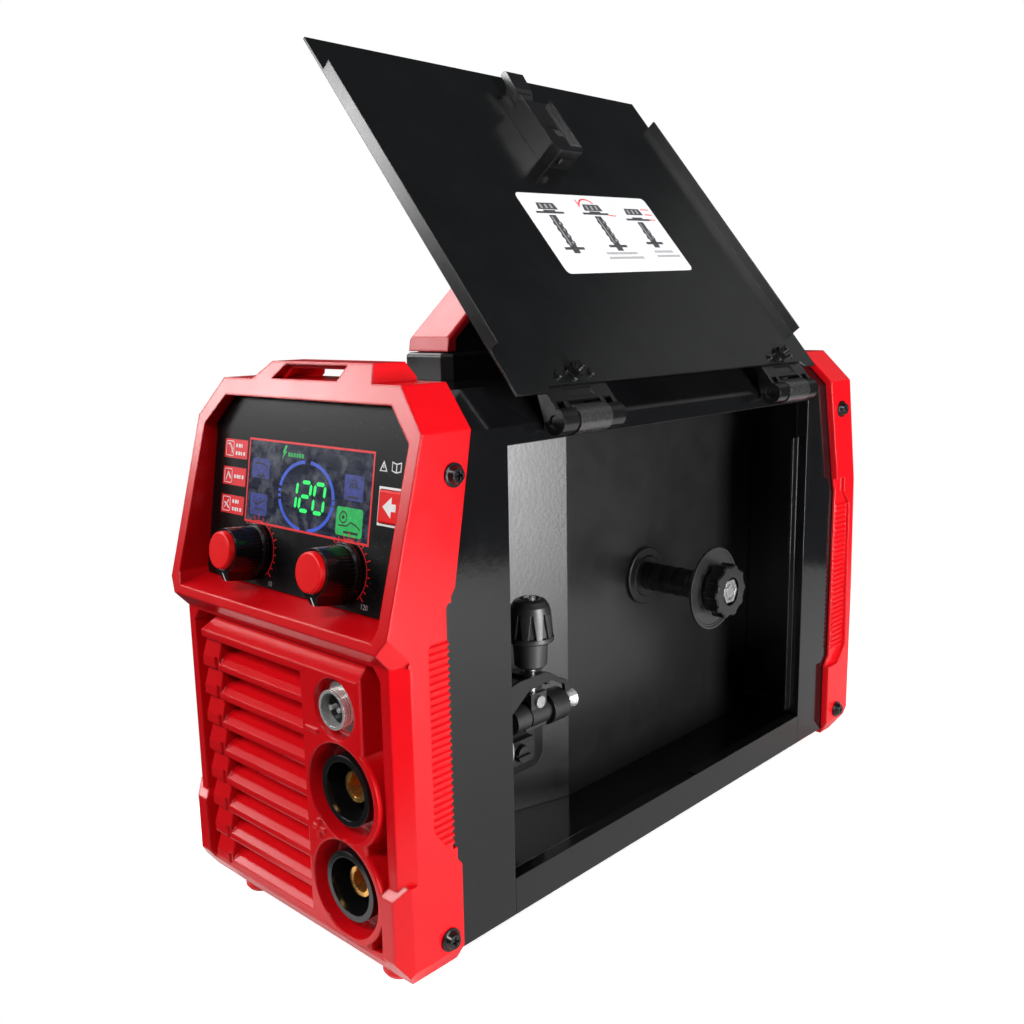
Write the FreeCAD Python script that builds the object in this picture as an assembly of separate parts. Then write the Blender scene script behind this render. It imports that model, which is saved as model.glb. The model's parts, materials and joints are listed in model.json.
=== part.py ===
import FreeCAD, Part
import math
import os

# Compact inverter welding machine with a wire bay, millimetres.
# Working axes: X across the machine with the door on the +X side, Y from the front to the
# back, Z up from the surface that it stands on. X = 0 is the middle of the case.
# At the end every part is shifted so that the origin is at the bottom centre of the whole
# machine with its door open.

Vector = FreeCAD.Vector

# ---- driving dimensions --------------------------------------------------------------
SHEET = 1.2                 # thickness of the steel sheets
FIT = 0.3                   # gap between parts that only sit beside each other

CASE_HALF = 70.7            # half width of the steel case
CASE_BOTTOM = 12.0
CASE_TOP = 236.5
CASE_SHOULDER = 221.5       # height where the side turns into the slanted shoulder
CASE_TOP_HALF = 56.9        # half width of the flat top
CASE_FRONT = 22.0
CASE_BACK = 350.0

BEZEL_HALF = 74.8
BEZEL_TOP = 240.0
BEZEL_TOP_HALF = 59.2
BEZEL_SHOULDER = 223.1
BEZEL_BOTTOM = 8.5
NOSE_HEIGHT = 151.7         # lowest point of the sloping front face
NOSE_Y = -0.9
FRONT_SLOPE = 0.277         # how far the front face leans back for each unit of height
LOWER_FRONT_Y = 3.57        # border of the lower front
RAISED_FRONT_Y = 0.9        # louvre and socket panel, and the corner guards
LOWER_HALF = 69.3

PANEL_TILT = 9.0            # degrees, control panel
PANEL_Y_AT = (20.0, 190.0)  # y of the panel's face at this height
PANEL_THICK = 2.0

OPENING_Y = (67.8, 312.4)   # wire bay opening in the right side
OPENING_TOP = 214.0
SILL_TOP = 28.7

LOUVRE_TOP = 126.8
LOUVRE_PITCH = 13.3
LOUVRE_COUNT = 8
LOUVRE_X = (-42.5, 18.0)

SOCKET_X = 40.5
SOCKET_Z = (82.0, 41.2)     # upper and lower weld sockets
SOCKET_RECESS_R = 19.6
SOCKET_BORE_R = 4.5
SIGNAL_X = 39.0             # round two pin connector
SIGNAL_Z = 116.3

KNOB_X = (-31.0, 31.0)
KNOB_Z = 167.0

DIVIDER_X = 16.4            # bay side of the wall behind the spool
SLANT_START_Y = 168.0       # from here to the front the wall slants inwards
SLANT = 0.27
BAY_FRONT_Y = 52.0

SPOOL_Y = 234.0
SPOOL_Z = 120.7

WIRE_X = SOCKET_X           # the wire runs straight into the upper socket
WIRE_Z = SOCKET_Z[0]
ROLL_Y = 84.0
DRIVE_ROLL_R = 12.0
IDLER_ROLL_R = 11.0
TENSION_Y = 112.7

HINGE_X = 77.5
HINGE_Z = 222.0
HINGE_LENGTH = 40.4
HINGE_Y = (88.2, 258.4)     # front end of each hinge
HINGE_SCREW_AT = 22.6       # from the front end of the hinge
HINGE_KNUCKLE_R = 5.6
HINGE_BARREL_R = 6.2
HINGE_PIN_R = 2.5
DOOR_LEAN = 39.1            # the open door leans back past upright by this angle
DOOR_Y = (69.8, 311.0)
DOOR_START = 10.9           # from the hinge axis to the near edge of the door
DOOR_END = 208.7
DOOR_INNER = 5.2            # from the hinge axis to the inner face of the door
DOOR_FLANGE = 5.0

HANDLE_Y = (89.0, 289.0)
HANDLE_HALF = 15.2
GRIP_HALF = 12.8

FAN_X = -26.0
FAN_Z = 125.0
FAN_SIZE = 80.0

parts = {}


# ---- shape helpers -------------------------------------------------------------------
def block(x, y, z):
    """Box from three (low, high) pairs."""
    size = [pair[1] - pair[0] for pair in (x, y, z)]
    return Part.makeBox(size[0], size[1], size[2], Vector(x[0], y[0], z[0]))


def prism(points, low, high, axis):
    """Prism of an outline. axis x takes (y, z) points, y takes (x, z), z takes (x, y)."""
    place = {
        "x": lambda a, b: Vector(low, a, b),
        "y": lambda a, b: Vector(a, low, b),
        "z": lambda a, b: Vector(a, b, low),
    }[axis]
    direction = {"x": (1, 0, 0), "y": (0, 1, 0), "z": (0, 0, 1)}[axis]
    corners = [place(a, b) for a, b in points]
    face = Part.Face(Part.makePolygon(corners + corners[:1]))
    return face.extrude(Vector(*direction) * (high - low))


def rod(radius, start, end):
    """Solid cylinder between two points."""
    start = Vector(*start)
    along = Vector(*end) - start
    return Part.makeCylinder(radius, along.Length, start, along)


def tube(outer, inner, start, end):
    return rod(outer, start, end).cut(rod(inner, start, end))


def cone(radius_1, radius_2, start, end):
    start = Vector(*start)
    along = Vector(*end) - start
    return Part.makeCone(radius_1, radius_2, along.Length, start, along)


def fuse(*shapes):
    body = shapes[0].fuse(list(shapes[1:])) if len(shapes) > 1 else shapes[0]
    return body.removeSplitter()


def group(shapes):
    return Part.makeCompound(shapes)


def mirrored(shape):
    return shape.mirror(Vector(0, 0, 0), Vector(1, 0, 0))


def both_sides(points):
    """Outline of the +X half, (x, value) from top to bottom, closed by its mirror image."""
    return points + [(-x, value) for x, value in reversed(points)]


def hexagon(across_flats, start, end):
    """Hexagonal bar along X or Y between two points."""
    radius = across_flats / math.sqrt(3)
    axis = "x" if start[0] != end[0] else "y"
    u, v = (start[1], start[2]) if axis == "x" else (start[0], start[2])
    low, high = (start[0], end[0]) if axis == "x" else (start[1], end[1])
    outline = [
        (u + radius * math.cos(math.radians(60 * k)), v + radius * math.sin(math.radians(60 * k)))
        for k in range(6)
    ]
    return prism(outline, min(low, high), max(low, high), axis)


def hexagon_up(across_flats, start, length):
    """Upright hexagonal bar."""
    radius = across_flats / math.sqrt(3)
    outline = [
        (start[0] + radius * math.cos(math.radians(60 * k)),
         start[1] + radius * math.sin(math.radians(60 * k)))
        for k in range(6)
    ]
    return prism(outline, start[2], start[2] + length, "z")


def turned(shape, about_y, degrees):
    """Turn about the Y direction through the point (x, z)."""
    shape = shape.copy()
    shape.rotate(Vector(about_y[0], 0, about_y[1]), Vector(0, 1, 0), degrees)
    return shape


def on_panel(shape):
    """Lean a part that was built upright at the control panel's pivot height."""
    shape = shape.copy()
    shape.rotate(Vector(0, PANEL_Y_AT[0], PANEL_Y_AT[1]), Vector(1, 0, 0), -PANEL_TILT)
    return shape


def on_door(shape):
    """Place a part built beside the hinge axis: X towards the inner side, Z along the door."""
    shape = shape.copy()
    shape.rotate(Vector(0, 0, 0), Vector(0, 1, 0), -DOOR_LEAN)
    shape.translate(Vector(HINGE_X, 0, HINGE_Z))
    return shape


def front_face_y(z):
    return NOSE_Y + (z - NOSE_HEIGHT) * FRONT_SLOPE


def panel_face_y(z):
    return PANEL_Y_AT[0] + (z - PANEL_Y_AT[1]) * math.tan(math.radians(PANEL_TILT))


def pan_screw(tip, head_at, outward, head_r, shank_r):
    """Pan head screw with a cross recess. outward is +1 or -1 along X."""
    x, y, z = head_at
    washer = rod(head_r, (x, y, z), (x + outward * 0.9, y, z))
    dome = cone(head_r * 0.8, head_r * 0.62, (x + outward * 0.9, y, z), (x + outward * 3.2, y, z))
    low, high = sorted((x + outward * 1.7, x + outward * 3.5))
    slot_1 = block((low, high), (y - 1.9, y + 1.9), (z - 0.45, z + 0.45))
    slot_2 = block((low, high), (y - 0.45, y + 0.45), (z - 1.9, z + 1.9))
    shank = rod(shank_r, (tip, y, z), (x, y, z))
    return fuse(washer, dome, shank).cut(slot_1).cut(slot_2)


# ---- front bezel ---------------------------------------------------------------------
def side_ribs(front_y, back_y, z_low, z_high, count):
    """Horizontal ribs in the recess on the right side of a bezel."""
    pitch = (z_high - z_low) / count
    ribs = []
    for k in range(count):
        z = z_low + pitch * (k + 0.5)
        half = pitch * 0.36
        outline = [
            (72.2, z - half), (73.4, z - half * 0.45),
            (73.4, z + half * 0.45), (72.2, z + half),
        ]
        ribs.append(prism(outline, front_y, back_y, "y"))
    return ribs


def nose_corner_cut():
    """Facet under the overhanging nose at the right corner."""
    along = Vector(0, 10.5, -10.8)
    along.normalize()
    top = Vector(BEZEL_HALF, NOSE_Y, NOSE_HEIGHT)
    low = Vector(70.0, -2.7, 145.2)
    across = top - low
    outward = across.cross(along)
    if outward.x < 0:
        outward = outward * -1
    outward.normalize()
    start = low - across - along * 6
    end = top + across - along * 6
    corners = [start, end, end + outward * 12, start + outward * 12]
    face = Part.Face(Part.makePolygon(corners + corners[:1]))
    return face.extrude(along * 21)


def bezel_outer():
    top_y = front_face_y(BEZEL_TOP)
    upper_side = [
        (top_y, BEZEL_TOP), (front_face_y(145.2), 145.2), (LOWER_FRONT_Y, 138.5),
        (33.0, 138.5), (33.3, 164.5), (43.8, BEZEL_SHOULDER), (46.5, BEZEL_TOP),
    ]
    upper_front = both_sides([
        (BEZEL_TOP_HALF, BEZEL_TOP), (BEZEL_HALF, BEZEL_SHOULDER), (BEZEL_HALF, 138.0),
    ])
    upper = prism(upper_side, -BEZEL_HALF, BEZEL_HALF, "x")
    upper = upper.common(prism(upper_front, -10, 60, "y"))
    corner = nose_corner_cut()
    upper = upper.cut(corner).cut(mirrored(corner))

    plan = [
        (LOWER_HALF, LOWER_FRONT_Y), (BEZEL_HALF, 10.0), (BEZEL_HALF, 33.0),
        (-BEZEL_HALF, 33.0), (-BEZEL_HALF, 10.0), (-LOWER_HALF, LOWER_FRONT_Y),
    ]
    lower = prism(plan, BEZEL_BOTTOM, 141.0, "z")

    guard_plan = [(62.5, 0.9), (LOWER_HALF, 0.9), (BEZEL_HALF, 6.6), (BEZEL_HALF, 20), (62.5, 20)]
    guard_side = [(0.9, BEZEL_BOTTOM), (0.9, 46.5), (5.6, 52.0), (20, 52.0), (20, BEZEL_BOTTOM)]
    guard = prism(guard_plan, BEZEL_BOTTOM, 60, "z").common(prism(guard_side, 60, 80, "x"))
    lower = fuse(lower, guard, mirrored(guard))

    bottom_bevel = prism([(-2, 25), (0.9, 20.5), (9.0, 8.5), (9.0, 0), (-2, 0)], -80, 80, "x")
    side_bevel = prism([(76, 18.3), (BEZEL_HALF, 16.3), (70.0, 8.5), (70, 0), (76, 0)], 0, 60, "y")
    lower = lower.cut(bottom_bevel).cut(side_bevel).cut(mirrored(side_bevel))
    return fuse(upper, lower)


def lifting_slot_bar():
    outline = [(-40, 238.5), (-24.5, 247.6), (41.5, 247.6), (43.0, 238.5)]
    bar = prism(outline, 22, 46.5, "y")
    lean = prism([(10, 230), (front_face_y(230), 230), (front_face_y(250), 250), (10, 250)],
                 -60, 60, "x")
    slot = prism([(-18, 240.4), (-12.5, 244.8), (23, 244.8), (17, 240.4)], 0, 60, "y")
    flare = prism([(-23, 240.4), (-14.5, 246.4), (26, 246.4), (21, 240.4)], 0, 27.4, "y")
    back_bevel = prism([(40.5, 249), (47, 249), (47, 241)], -60, 60, "x")
    return bar.cut(lean).cut(slot).cut(flare).cut(back_bevel)


def louvre_slots():
    cuts = []
    for k in range(LOUVRE_COUNT):
        top = LOUVRE_TOP - k * LOUVRE_PITCH
        outline = [
            (-1, top), (-1, top - 10.4), (0.9, top - 10.4), (3.2, top - 8.1),
            (12, top - 3.4), (20, top - 3.4), (20, top),
        ]
        cuts.append(prism(outline, LOUVRE_X[0], LOUVRE_X[1], "x"))
        lap = [(-1, top), (2.9, top), (RAISED_FRONT_Y, top - 8.6), (-1, top - 8.6)]
        cuts.append(prism(lap, -57, LOUVRE_X[0], "x"))
        notch = [(-46.4, -1), (-43.4, -1), (-43.9, 2.6), (-45.9, 2.6)]
        cuts.append(prism(notch, top - LOUVRE_PITCH, top - 8.0, "z"))
        edge = [(-57, top), (-54.0, top), (-55.4, top - 9.0), (-57, top - 9.0)]
        cuts.append(prism(edge, -1, 13.8, "y"))
    return cuts


def front_bezel():
    body = bezel_outer()

    # window down to the control panel, whose back rests on a ledge
    window = both_sides([(56, 232.5), (69, 219.5), (69, 154.5), (65, 146.0)])
    ledge = [(-12, 147.5), (panel_face_y(151.5), 151.5), (60, 153.0), (60, 240), (-12, 240)]
    window = prism(window, -12, 60, "y").common(prism(ledge, -80, 80, "x"))
    seat_y = panel_face_y(151.5) + PANEL_THICK
    seat = [(-12, 140), (seat_y, 140), (seat_y, 151.5),
            (panel_face_y(240) + PANEL_THICK, 240), (-12, 240)]
    body = body.cut(window.common(prism(seat, -80, 80, "x")))

    # room behind the ledge and room for the case
    behind = [
        (17.5, 20), (17.5, 140), (18.5, 155), (panel_face_y(233) + 5, 233.5), (60, 233.5), (60, 20),
    ]
    rear_room = prism(behind, -66, 66, "x")
    corner = [(70, 240), (70, 214), (52, 234)]
    for points in (corner, [(-x, z) for x, z in corner]):
        rear_room = rear_room.cut(prism(points, 0, 70, "y"))
    body = body.cut(rear_room)
    screen_room = block((-64, 64), (10, 40), (156, 225))
    body = body.cut(screen_room.common(prism(seat, -80, 80, "x")).fuse(
        block((-64, 64), (17, 45), (156, 222))))
    gap = CASE_HALF + FIT
    case_room = both_sides([
        (CASE_TOP_HALF + 0.2, CASE_TOP + FIT), (gap, CASE_SHOULDER + 0.1), (gap, CASE_BOTTOM - FIT),
    ])
    case_side = [
        (CASE_FRONT - FIT, 0), (CASE_FRONT - FIT, 150), (34.3, CASE_TOP + 1), (70, CASE_TOP + 1),
        (70, 0),
    ]
    body = body.cut(prism(case_room, 10, 70, "y").common(prism(case_side, -80, 80, "x")))

    # groove round the raised panel
    groove = both_sides([(61.0, 137.4), (64.6, 132.5), (64.6, 50.0), (62.5, 47.0), (62.5, 19.0)])
    body = body.cut(prism(groove, -5, 13.8, "y"))
    raised_side = [
        (RAISED_FRONT_Y, 21), (RAISED_FRONT_Y, 130.2), (7.0, 136.2), (14.5, 136.2), (14.5, 19.6),
        (2.2, 19.6),
    ]
    raised = prism(raised_side, -55.6, 54.3, "x")
    top_corner = prism([(52.9, 140), (60, 140), (60, 126), (54.4, 130.2)], -5, 15, "y")
    side_edge = prism([(60, 0), (53.2, 0.8), (54.4, 2.2), (60, 2.2)], 0, 140, "z")
    left_corner = prism([(-60, 140), (-48.5, 140), (-50.6, 136.2), (-55.6, 130.0), (-60, 130.0)],
                        -5, 15, "y")
    raised = raised.cut(side_edge).cut(top_corner).cut(left_corner)
    bosses = [
        rod(SOCKET_RECESS_R + 3.4, (SOCKET_X, RAISED_FRONT_Y, z), (SOCKET_X, 14.5, z))
        for z in SOCKET_Z
    ]
    floor_limit = block((0, 90), (0, 20), (19.6, 140))
    bosses = [boss.common(floor_limit) for boss in bosses]
    body = fuse(body, raised, *bosses)

    for z in SOCKET_Z:
        recess = cone(SOCKET_RECESS_R + 0.8, SOCKET_RECESS_R - 0.6, (SOCKET_X, 0.85, z),
                      (SOCKET_X, 12.0, z))
        body = body.cut(recess).cut(rod(13.2, (SOCKET_X, 10, z), (SOCKET_X, 25, z)))
    recess = rod(12.4, (SIGNAL_X, 0, SIGNAL_Z), (SIGNAL_X, 6.5, SIGNAL_Z))
    body = body.cut(recess).cut(rod(8.1, (SIGNAL_X, 5, SIGNAL_Z), (SIGNAL_X, 25, SIGNAL_Z)))
    for cut in louvre_slots():
        body = body.cut(cut)

    minus = block((20.0, 28.0), (0.4, 1.5), (103.2, 105.2))
    plus = [block((21.2, 29.6), (0.4, 1.5), (61.2, 63.2)), block((24.4, 26.4), (0.4, 1.5), (58, 66.4))]
    body = fuse(body, minus, plus[0], plus[1], lifting_slot_bar())

    # ribbed recess on both sides, and the screw holes
    notch = [(18.7, 143.4), (28.6, 157.7), (33.4, 164.5), (50, 164.5), (50, 52), (32.8, 52),
             (29.7, 55.8), (18.8, 70.3)]
    side_cut = prism(notch, 72.4, 80, "x").fuse(block((60, 80), (30.6, 50), (58, 158)))
    ribs = side_ribs(19.6, 30.6, 60.0, 144.0, 29)
    rib_limit = prism([(19.4, 60), (19.4, 143.6), (29.4, 158), (30.6, 158), (30.6, 56), (29.6, 56)],
                      70, 80, "x")
    ribs = [rib.common(rib_limit) for rib in ribs]
    body = body.cut(side_cut).cut(mirrored(side_cut))
    body = fuse(body, *(ribs + [mirrored(rib) for rib in ribs]))
    for y, z in ((34.0, 207.0), (25.2, 22.4)):
        body = body.cut(rod(2.1, (-80, y, z), (80, y, z)))

    feet = [
        fuse(rod(7.0, (x, 19.5, 2.0), (x, 19.5, 9.5)), cone(5.6, 7.0, (x, 19.5, 0), (x, 19.5, 2.0)))
        for x in (-50, 50)
    ]
    parts["front_bezel"] = fuse(body, *feet)


# ---- rear bezel ----------------------------------------------------------------------
def rear_bezel():
    side = [
        (327.5, BEZEL_TOP), (331, BEZEL_SHOULDER), (343, 166), (345.5, 158), (345.5, 58),
        (341, 52), (341, 15.9), (343, BEZEL_BOTTOM), (354, BEZEL_BOTTOM), (366.5, 20),
        (366.5, 88), (364, 164), (353.6, BEZEL_SHOULDER), (350.5, BEZEL_TOP),
    ]
    outline = both_sides([
        (BEZEL_TOP_HALF, BEZEL_TOP), (BEZEL_HALF, BEZEL_SHOULDER), (BEZEL_HALF, 16.3),
        (70.0, BEZEL_BOTTOM),
    ])
    body = prism(side, -BEZEL_HALF, BEZEL_HALF, "x").common(prism(outline, 320, 380, "y"))
    gap = CASE_HALF + FIT
    room = both_sides([
        (CASE_TOP_HALF + 0.2, CASE_TOP + FIT), (gap, CASE_SHOULDER + 0.1), (gap, CASE_BOTTOM - FIT),
    ])
    body = body.cut(prism(room, 320, CASE_BACK + FIT, "y"))
    window = both_sides([(50, 226), (63, 213), (63, 34), (56, 26)])
    body = body.cut(prism(window, 330, 380, "y"))
    notch = [(359.4, 150), (352, 158), (352, 166), (340, 166), (340, 52), (352, 52), (361.4, 62)]
    side_cut = prism(notch, 72.4, 80, "x")
    ribs = side_ribs(346.2, 360.4, 61.0, 151.0, 31)
    limit = prism([(359.0, 149.6), (352, 157), (345.9, 157), (345.9, 60), (360.8, 62)], 70, 80, "x")
    ribs = [rib.common(limit) for rib in ribs]
    body = body.cut(side_cut).cut(mirrored(side_cut))
    body = fuse(body, *(ribs + [mirrored(rib) for rib in ribs]))
    for y, z in ((343.8, 207.0), (352.6, 22.4)):
        if y < CASE_BACK:
            body = body.cut(rod(2.1, (-80, y, z), (80, y, z)))
        else:
            body = body.cut(rod(2.1, (62, y, z), (80, y, z))).cut(rod(2.1, (-80, y, z), (-62, y, z)))
    feet = [
        fuse(rod(7.0, (x, 350, 2.0), (x, 350, 9.5)), cone(5.6, 7.0, (x, 350, 0), (x, 350, 2.0)))
        for x in (-50, 50)
    ]
    parts["rear_bezel"] = fuse(body, *feet)


# ---- sheet metal case ----------------------------------------------------------------
def case_outline(inset):
    turn = inset * 0.43
    return both_sides([
        (CASE_TOP_HALF - turn, CASE_TOP - inset), (CASE_HALF - inset, CASE_SHOULDER - turn),
    ])


def case_cover():
    outer = case_outline(0)
    inner = case_outline(SHEET)
    outer_half = [(CASE_HALF, CASE_BOTTOM)] + [outer[1], outer[0]]
    points = outer_half + [(-x, z) for x, z in reversed(outer_half)]
    inner_half = [(CASE_HALF - SHEET, CASE_BOTTOM)] + [inner[1], inner[0]]
    points += [(x, z) for x, z in [(-a, b) for a, b in inner_half]]
    points += [(x, z) for x, z in reversed(inner_half)]
    cover = prism(points, CASE_FRONT, CASE_BACK, "y")
    front_trim = prism([(0, 150), (CASE_FRONT, 150), (35.8, 245), (0, 245)], -80, 80, "x")
    opening = block((60, 80), OPENING_Y, (0, OPENING_TOP))
    cover = cover.cut(front_trim).cut(opening)

    front_edge, rear_edge = OPENING_Y
    side_in = CASE_HALF - SHEET
    lips = [
        block((64.7, side_in), (front_edge + 1.2, rear_edge - 1.2),
              (OPENING_TOP, OPENING_TOP + SHEET)),
        block((64.7, side_in), (front_edge - SHEET, front_edge), (30, OPENING_TOP)),
        block((64.0, side_in), (rear_edge, rear_edge + SHEET), (30, OPENING_TOP)),
        block((64.0, 64.0 + SHEET), (rear_edge - 5.0, rear_edge), (32, 193)),
    ]
    cover = fuse(cover, *lips)
    for y, z in ((34.0, 207.0), (25.2, 22.4), (343.8, 207.0)):
        cover = cover.cut(rod(2.1, (-80, y, z), (80, y, z)))
    for y in (HANDLE_Y[0] + 10, HANDLE_Y[1] - 10):
        cover = cover.cut(rod(2.3, (0, y, 230), (0, y, 240)))
    parts["case_cover"] = cover


def base_tray():
    floor = block((-69.3, 69.3), (CASE_FRONT + 1, CASE_BACK - 2), (CASE_BOTTOM, CASE_BOTTOM + SHEET))
    front_edge, rear_edge = OPENING_Y
    sill_y = (front_edge + 0.3, rear_edge - 0.3)
    sill = block((CASE_HALF - SHEET, CASE_HALF), sill_y, (CASE_BOTTOM, SILL_TOP))
    sill_foot = block((69.0, CASE_HALF), sill_y, (CASE_BOTTOM, CASE_BOTTOM + SHEET))
    sill_fold = block((64.5, CASE_HALF), sill_y, (SILL_TOP - SHEET, SILL_TOP))
    left = block((-69.3, -69.3 + SHEET), (CASE_FRONT + 1, CASE_BACK - 2), (CASE_BOTTOM, 40))
    rear = block((-69.3, 69.0), (CASE_BACK - 2 - SHEET, CASE_BACK - 2), (CASE_BOTTOM, 21))
    tray = fuse(floor, sill, sill_foot, sill_fold, left, rear)
    latch_notch = block((64, 69.4), (182, 206), (SILL_TOP - 2, SILL_TOP + 1))
    tray = tray.cut(latch_notch)
    for y, z in ((25.2, 22.4),):
        tray = tray.cut(rod(2.1, (-80, y, z), (-60, y, z)))
    parts["base_tray"] = tray


def divider_wall():
    inner = DIVIDER_X - SHEET
    shift = SLANT * (SLANT_START_Y - BAY_FRONT_Y)
    low, high = CASE_BOTTOM + SHEET, CASE_TOP - SHEET
    plan = [
        (DIVIDER_X, 345.0), (DIVIDER_X, SLANT_START_Y), (DIVIDER_X - shift, BAY_FRONT_Y + SHEET),
        (66.0, BAY_FRONT_Y + SHEET), (66.0, BAY_FRONT_Y), (inner - shift, BAY_FRONT_Y),
        (inner, SLANT_START_Y), (inner, 345.0),
    ]
    wall = prism(plan, low, high, "z")
    shoulder = prism([(72, 250), (72, 217.9), (69.2, 221.0), (56.0, 235.3), (56, 250)], 0, 200, "y")
    gearbox_hole = block((-20, 19), (77, 119), (47, 85))
    wall = wall.cut(shoulder).cut(gearbox_hole)
    wall = wall.cut(rod(3.4, (WIRE_X, 40, WIRE_Z), (WIRE_X, 60, WIRE_Z)))
    wall = wall.cut(rod(4.1, (0, SPOOL_Y, SPOOL_Z), (20, SPOOL_Y, SPOOL_Z)))
    wall = wall.cut(rod(5.2, (0, HANDLE_Y[0] + 10, 231.0), (0, HANDLE_Y[0] + 10, 236)))
    parts["divider_wall"] = wall


def rear_panel():
    y = (343.9, 345.1)
    panel = prism(both_sides([(55, 232), (67.9, 218), (67.9, 22.5)]), y[0] + 1.4, y[1] + 1.4, "y")
    face = (y[0] + 1.0, y[1] + 2.0)
    slots = []
    for k in range(-7, 8):
        z = FAN_Z + k * 5.0
        half = math.sqrt(max(0.0, 37.0 ** 2 - (k * 5.0) ** 2))
        if half > 8:
            slots.append(block((FAN_X - half, FAN_X + half), face, (z - 1.4, z + 1.4)))
    for slot in slots:
        panel = panel.cut(slot)
    spokes = [
        block((FAN_X - 1.5, FAN_X + 1.5), (y[0] + 1.4, y[1] + 1.4), (FAN_Z - 38, FAN_Z + 38)),
    ]
    panel = fuse(panel, *spokes)
    panel = panel.cut(block((-46, -24), face, (184, 214)))
    panel = panel.cut(rod(8.1, (-40, 340, 52), (-40, 350, 52)))
    parts["rear_panel"] = panel


# ---- handle --------------------------------------------------------------------------
def handle():
    low_y, high_y = HANDLE_Y
    reach = math.cos(math.radians(DOOR_LEAN)) * HINGE_X + math.sin(math.radians(DOOR_LEAN)) * HINGE_Z
    reach += DOOR_INNER - SHEET + 0.25
    top = (reach - math.cos(math.radians(DOOR_LEAN)) * GRIP_HALF) / math.sin(math.radians(DOOR_LEAN))
    base_top = CASE_TOP + 12.0

    def arch(inset, foot):
        slope = 62.0
        return [
            (low_y + 3 + inset, foot), (low_y + 4 + inset, base_top + 7 - inset * 0.2),
            (low_y + 4 + slope + inset * 0.35, top - inset), (high_y - 4 - slope - inset * 0.35, top - inset),
            (high_y - 4 - inset, base_top + 7 - inset * 0.2), (high_y - 3 - inset, foot),
        ]

    outer = prism(arch(0, base_top + 0.6), -GRIP_HALF, GRIP_HALF, "x")
    core = prism(arch(4.5, base_top - 6), -GRIP_HALF - 1, GRIP_HALF + 1, "x")
    grip = outer.cut(core)
    top_edges = [
        edge for edge in grip.Edges
        if edge.BoundBox.ZMin > base_top + 5 and abs(abs(edge.BoundBox.XMin) - GRIP_HALF) < 0.01
        and abs(abs(edge.BoundBox.XMax) - GRIP_HALF) < 0.01 and edge.BoundBox.XLength < 0.1
        and edge.CenterOfMass.z > base_top + 20
        and edge.BoundBox.ZMax > top - 4.0
    ]
    outer_edges = [edge for edge in top_edges if edge.BoundBox.ZMax > top - 0.1]
    grip = grip.makeFillet(1.6, outer_edges)
    parts["handle_grip"] = grip

    frame = prism(arch(4.6, base_top - 6), -GRIP_HALF + 0.4, GRIP_HALF - 0.4, "x")
    finger_gap = [
        (low_y + 39, base_top + 2.5), (low_y + 63, base_top + 26.5), (high_y - 57, base_top + 28.0),
        (high_y - 31, base_top + 2.5),
    ]
    frame = frame.cut(prism(finger_gap, -30, 30, "x"))
    base_plan = [
        (-HANDLE_HALF + 4, low_y), (HANDLE_HALF - 4, low_y), (HANDLE_HALF, low_y + 4),
        (HANDLE_HALF, high_y - 4), (HANDLE_HALF - 4, high_y), (-HANDLE_HALF + 4, high_y),
        (-HANDLE_HALF, high_y - 4), (-HANDLE_HALF, low_y + 4),
    ]
    base = prism(base_plan, CASE_TOP, base_top, "z")
    rim = [edge for edge in base.Edges if edge.BoundBox.ZMin > base_top - 0.01]
    base = base.makeFillet(1.8, rim)
    frame = fuse(base, frame)
    for y in (low_y + 10, high_y - 10):
        frame = frame.cut(rod(2.1, (0, y, 230), (0, y, base_top)))
    parts["handle_frame"] = frame
    screws = []
    for y in (low_y + 10, high_y - 10):
        head = rod(4.4, (0, y, CASE_TOP - SHEET - 3.0), (0, y, CASE_TOP - SHEET))
        shank = rod(2.0, (0, y, CASE_TOP - SHEET), (0, y, base_top - 1))
        screws.append(fuse(head, shank))
    return screws


# ---- door, hinges and latch ----------------------------------------------------------
def door():
    outer = DOOR_INNER - SHEET
    low_y, high_y = DOOR_Y
    sheet = block((outer, DOOR_INNER), DOOR_Y, (DOOR_START, DOOR_END))
    cutback = [
        (low_y + 17, DOOR_START - 1), (low_y + 18, DOOR_START), (low_y + 21.2, DOOR_START + 3.2),
        (high_y - 14.2, DOOR_START + 3.2), (high_y - 11, DOOR_START), (high_y - 10, DOOR_START - 1),
    ]
    sheet = sheet.cut(prism(cutback, outer - 1, DOOR_INNER + 1, "x"))
    flange_z = (DOOR_START + 22, DOOR_END - 20)
    inner = (DOOR_INNER, DOOR_INNER + DOOR_FLANGE)
    flanges = [
        block(inner, (low_y, low_y + SHEET), flange_z),
        block(inner, (high_y - SHEET, high_y), flange_z),
    ]
    panel = fuse(sheet, *flanges)
    for start in HINGE_Y:
        y = start + HINGE_SCREW_AT
        panel = panel.cut(rod(2.1, (outer - 1, y, 19.5), (DOOR_INNER + 1, y, 19.5)))
    panel = panel.cut(block((outer - 1, DOOR_INNER + 1), (186.5, 200.5), (150, 172)))
    parts["door_panel"] = on_door(panel)


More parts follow.
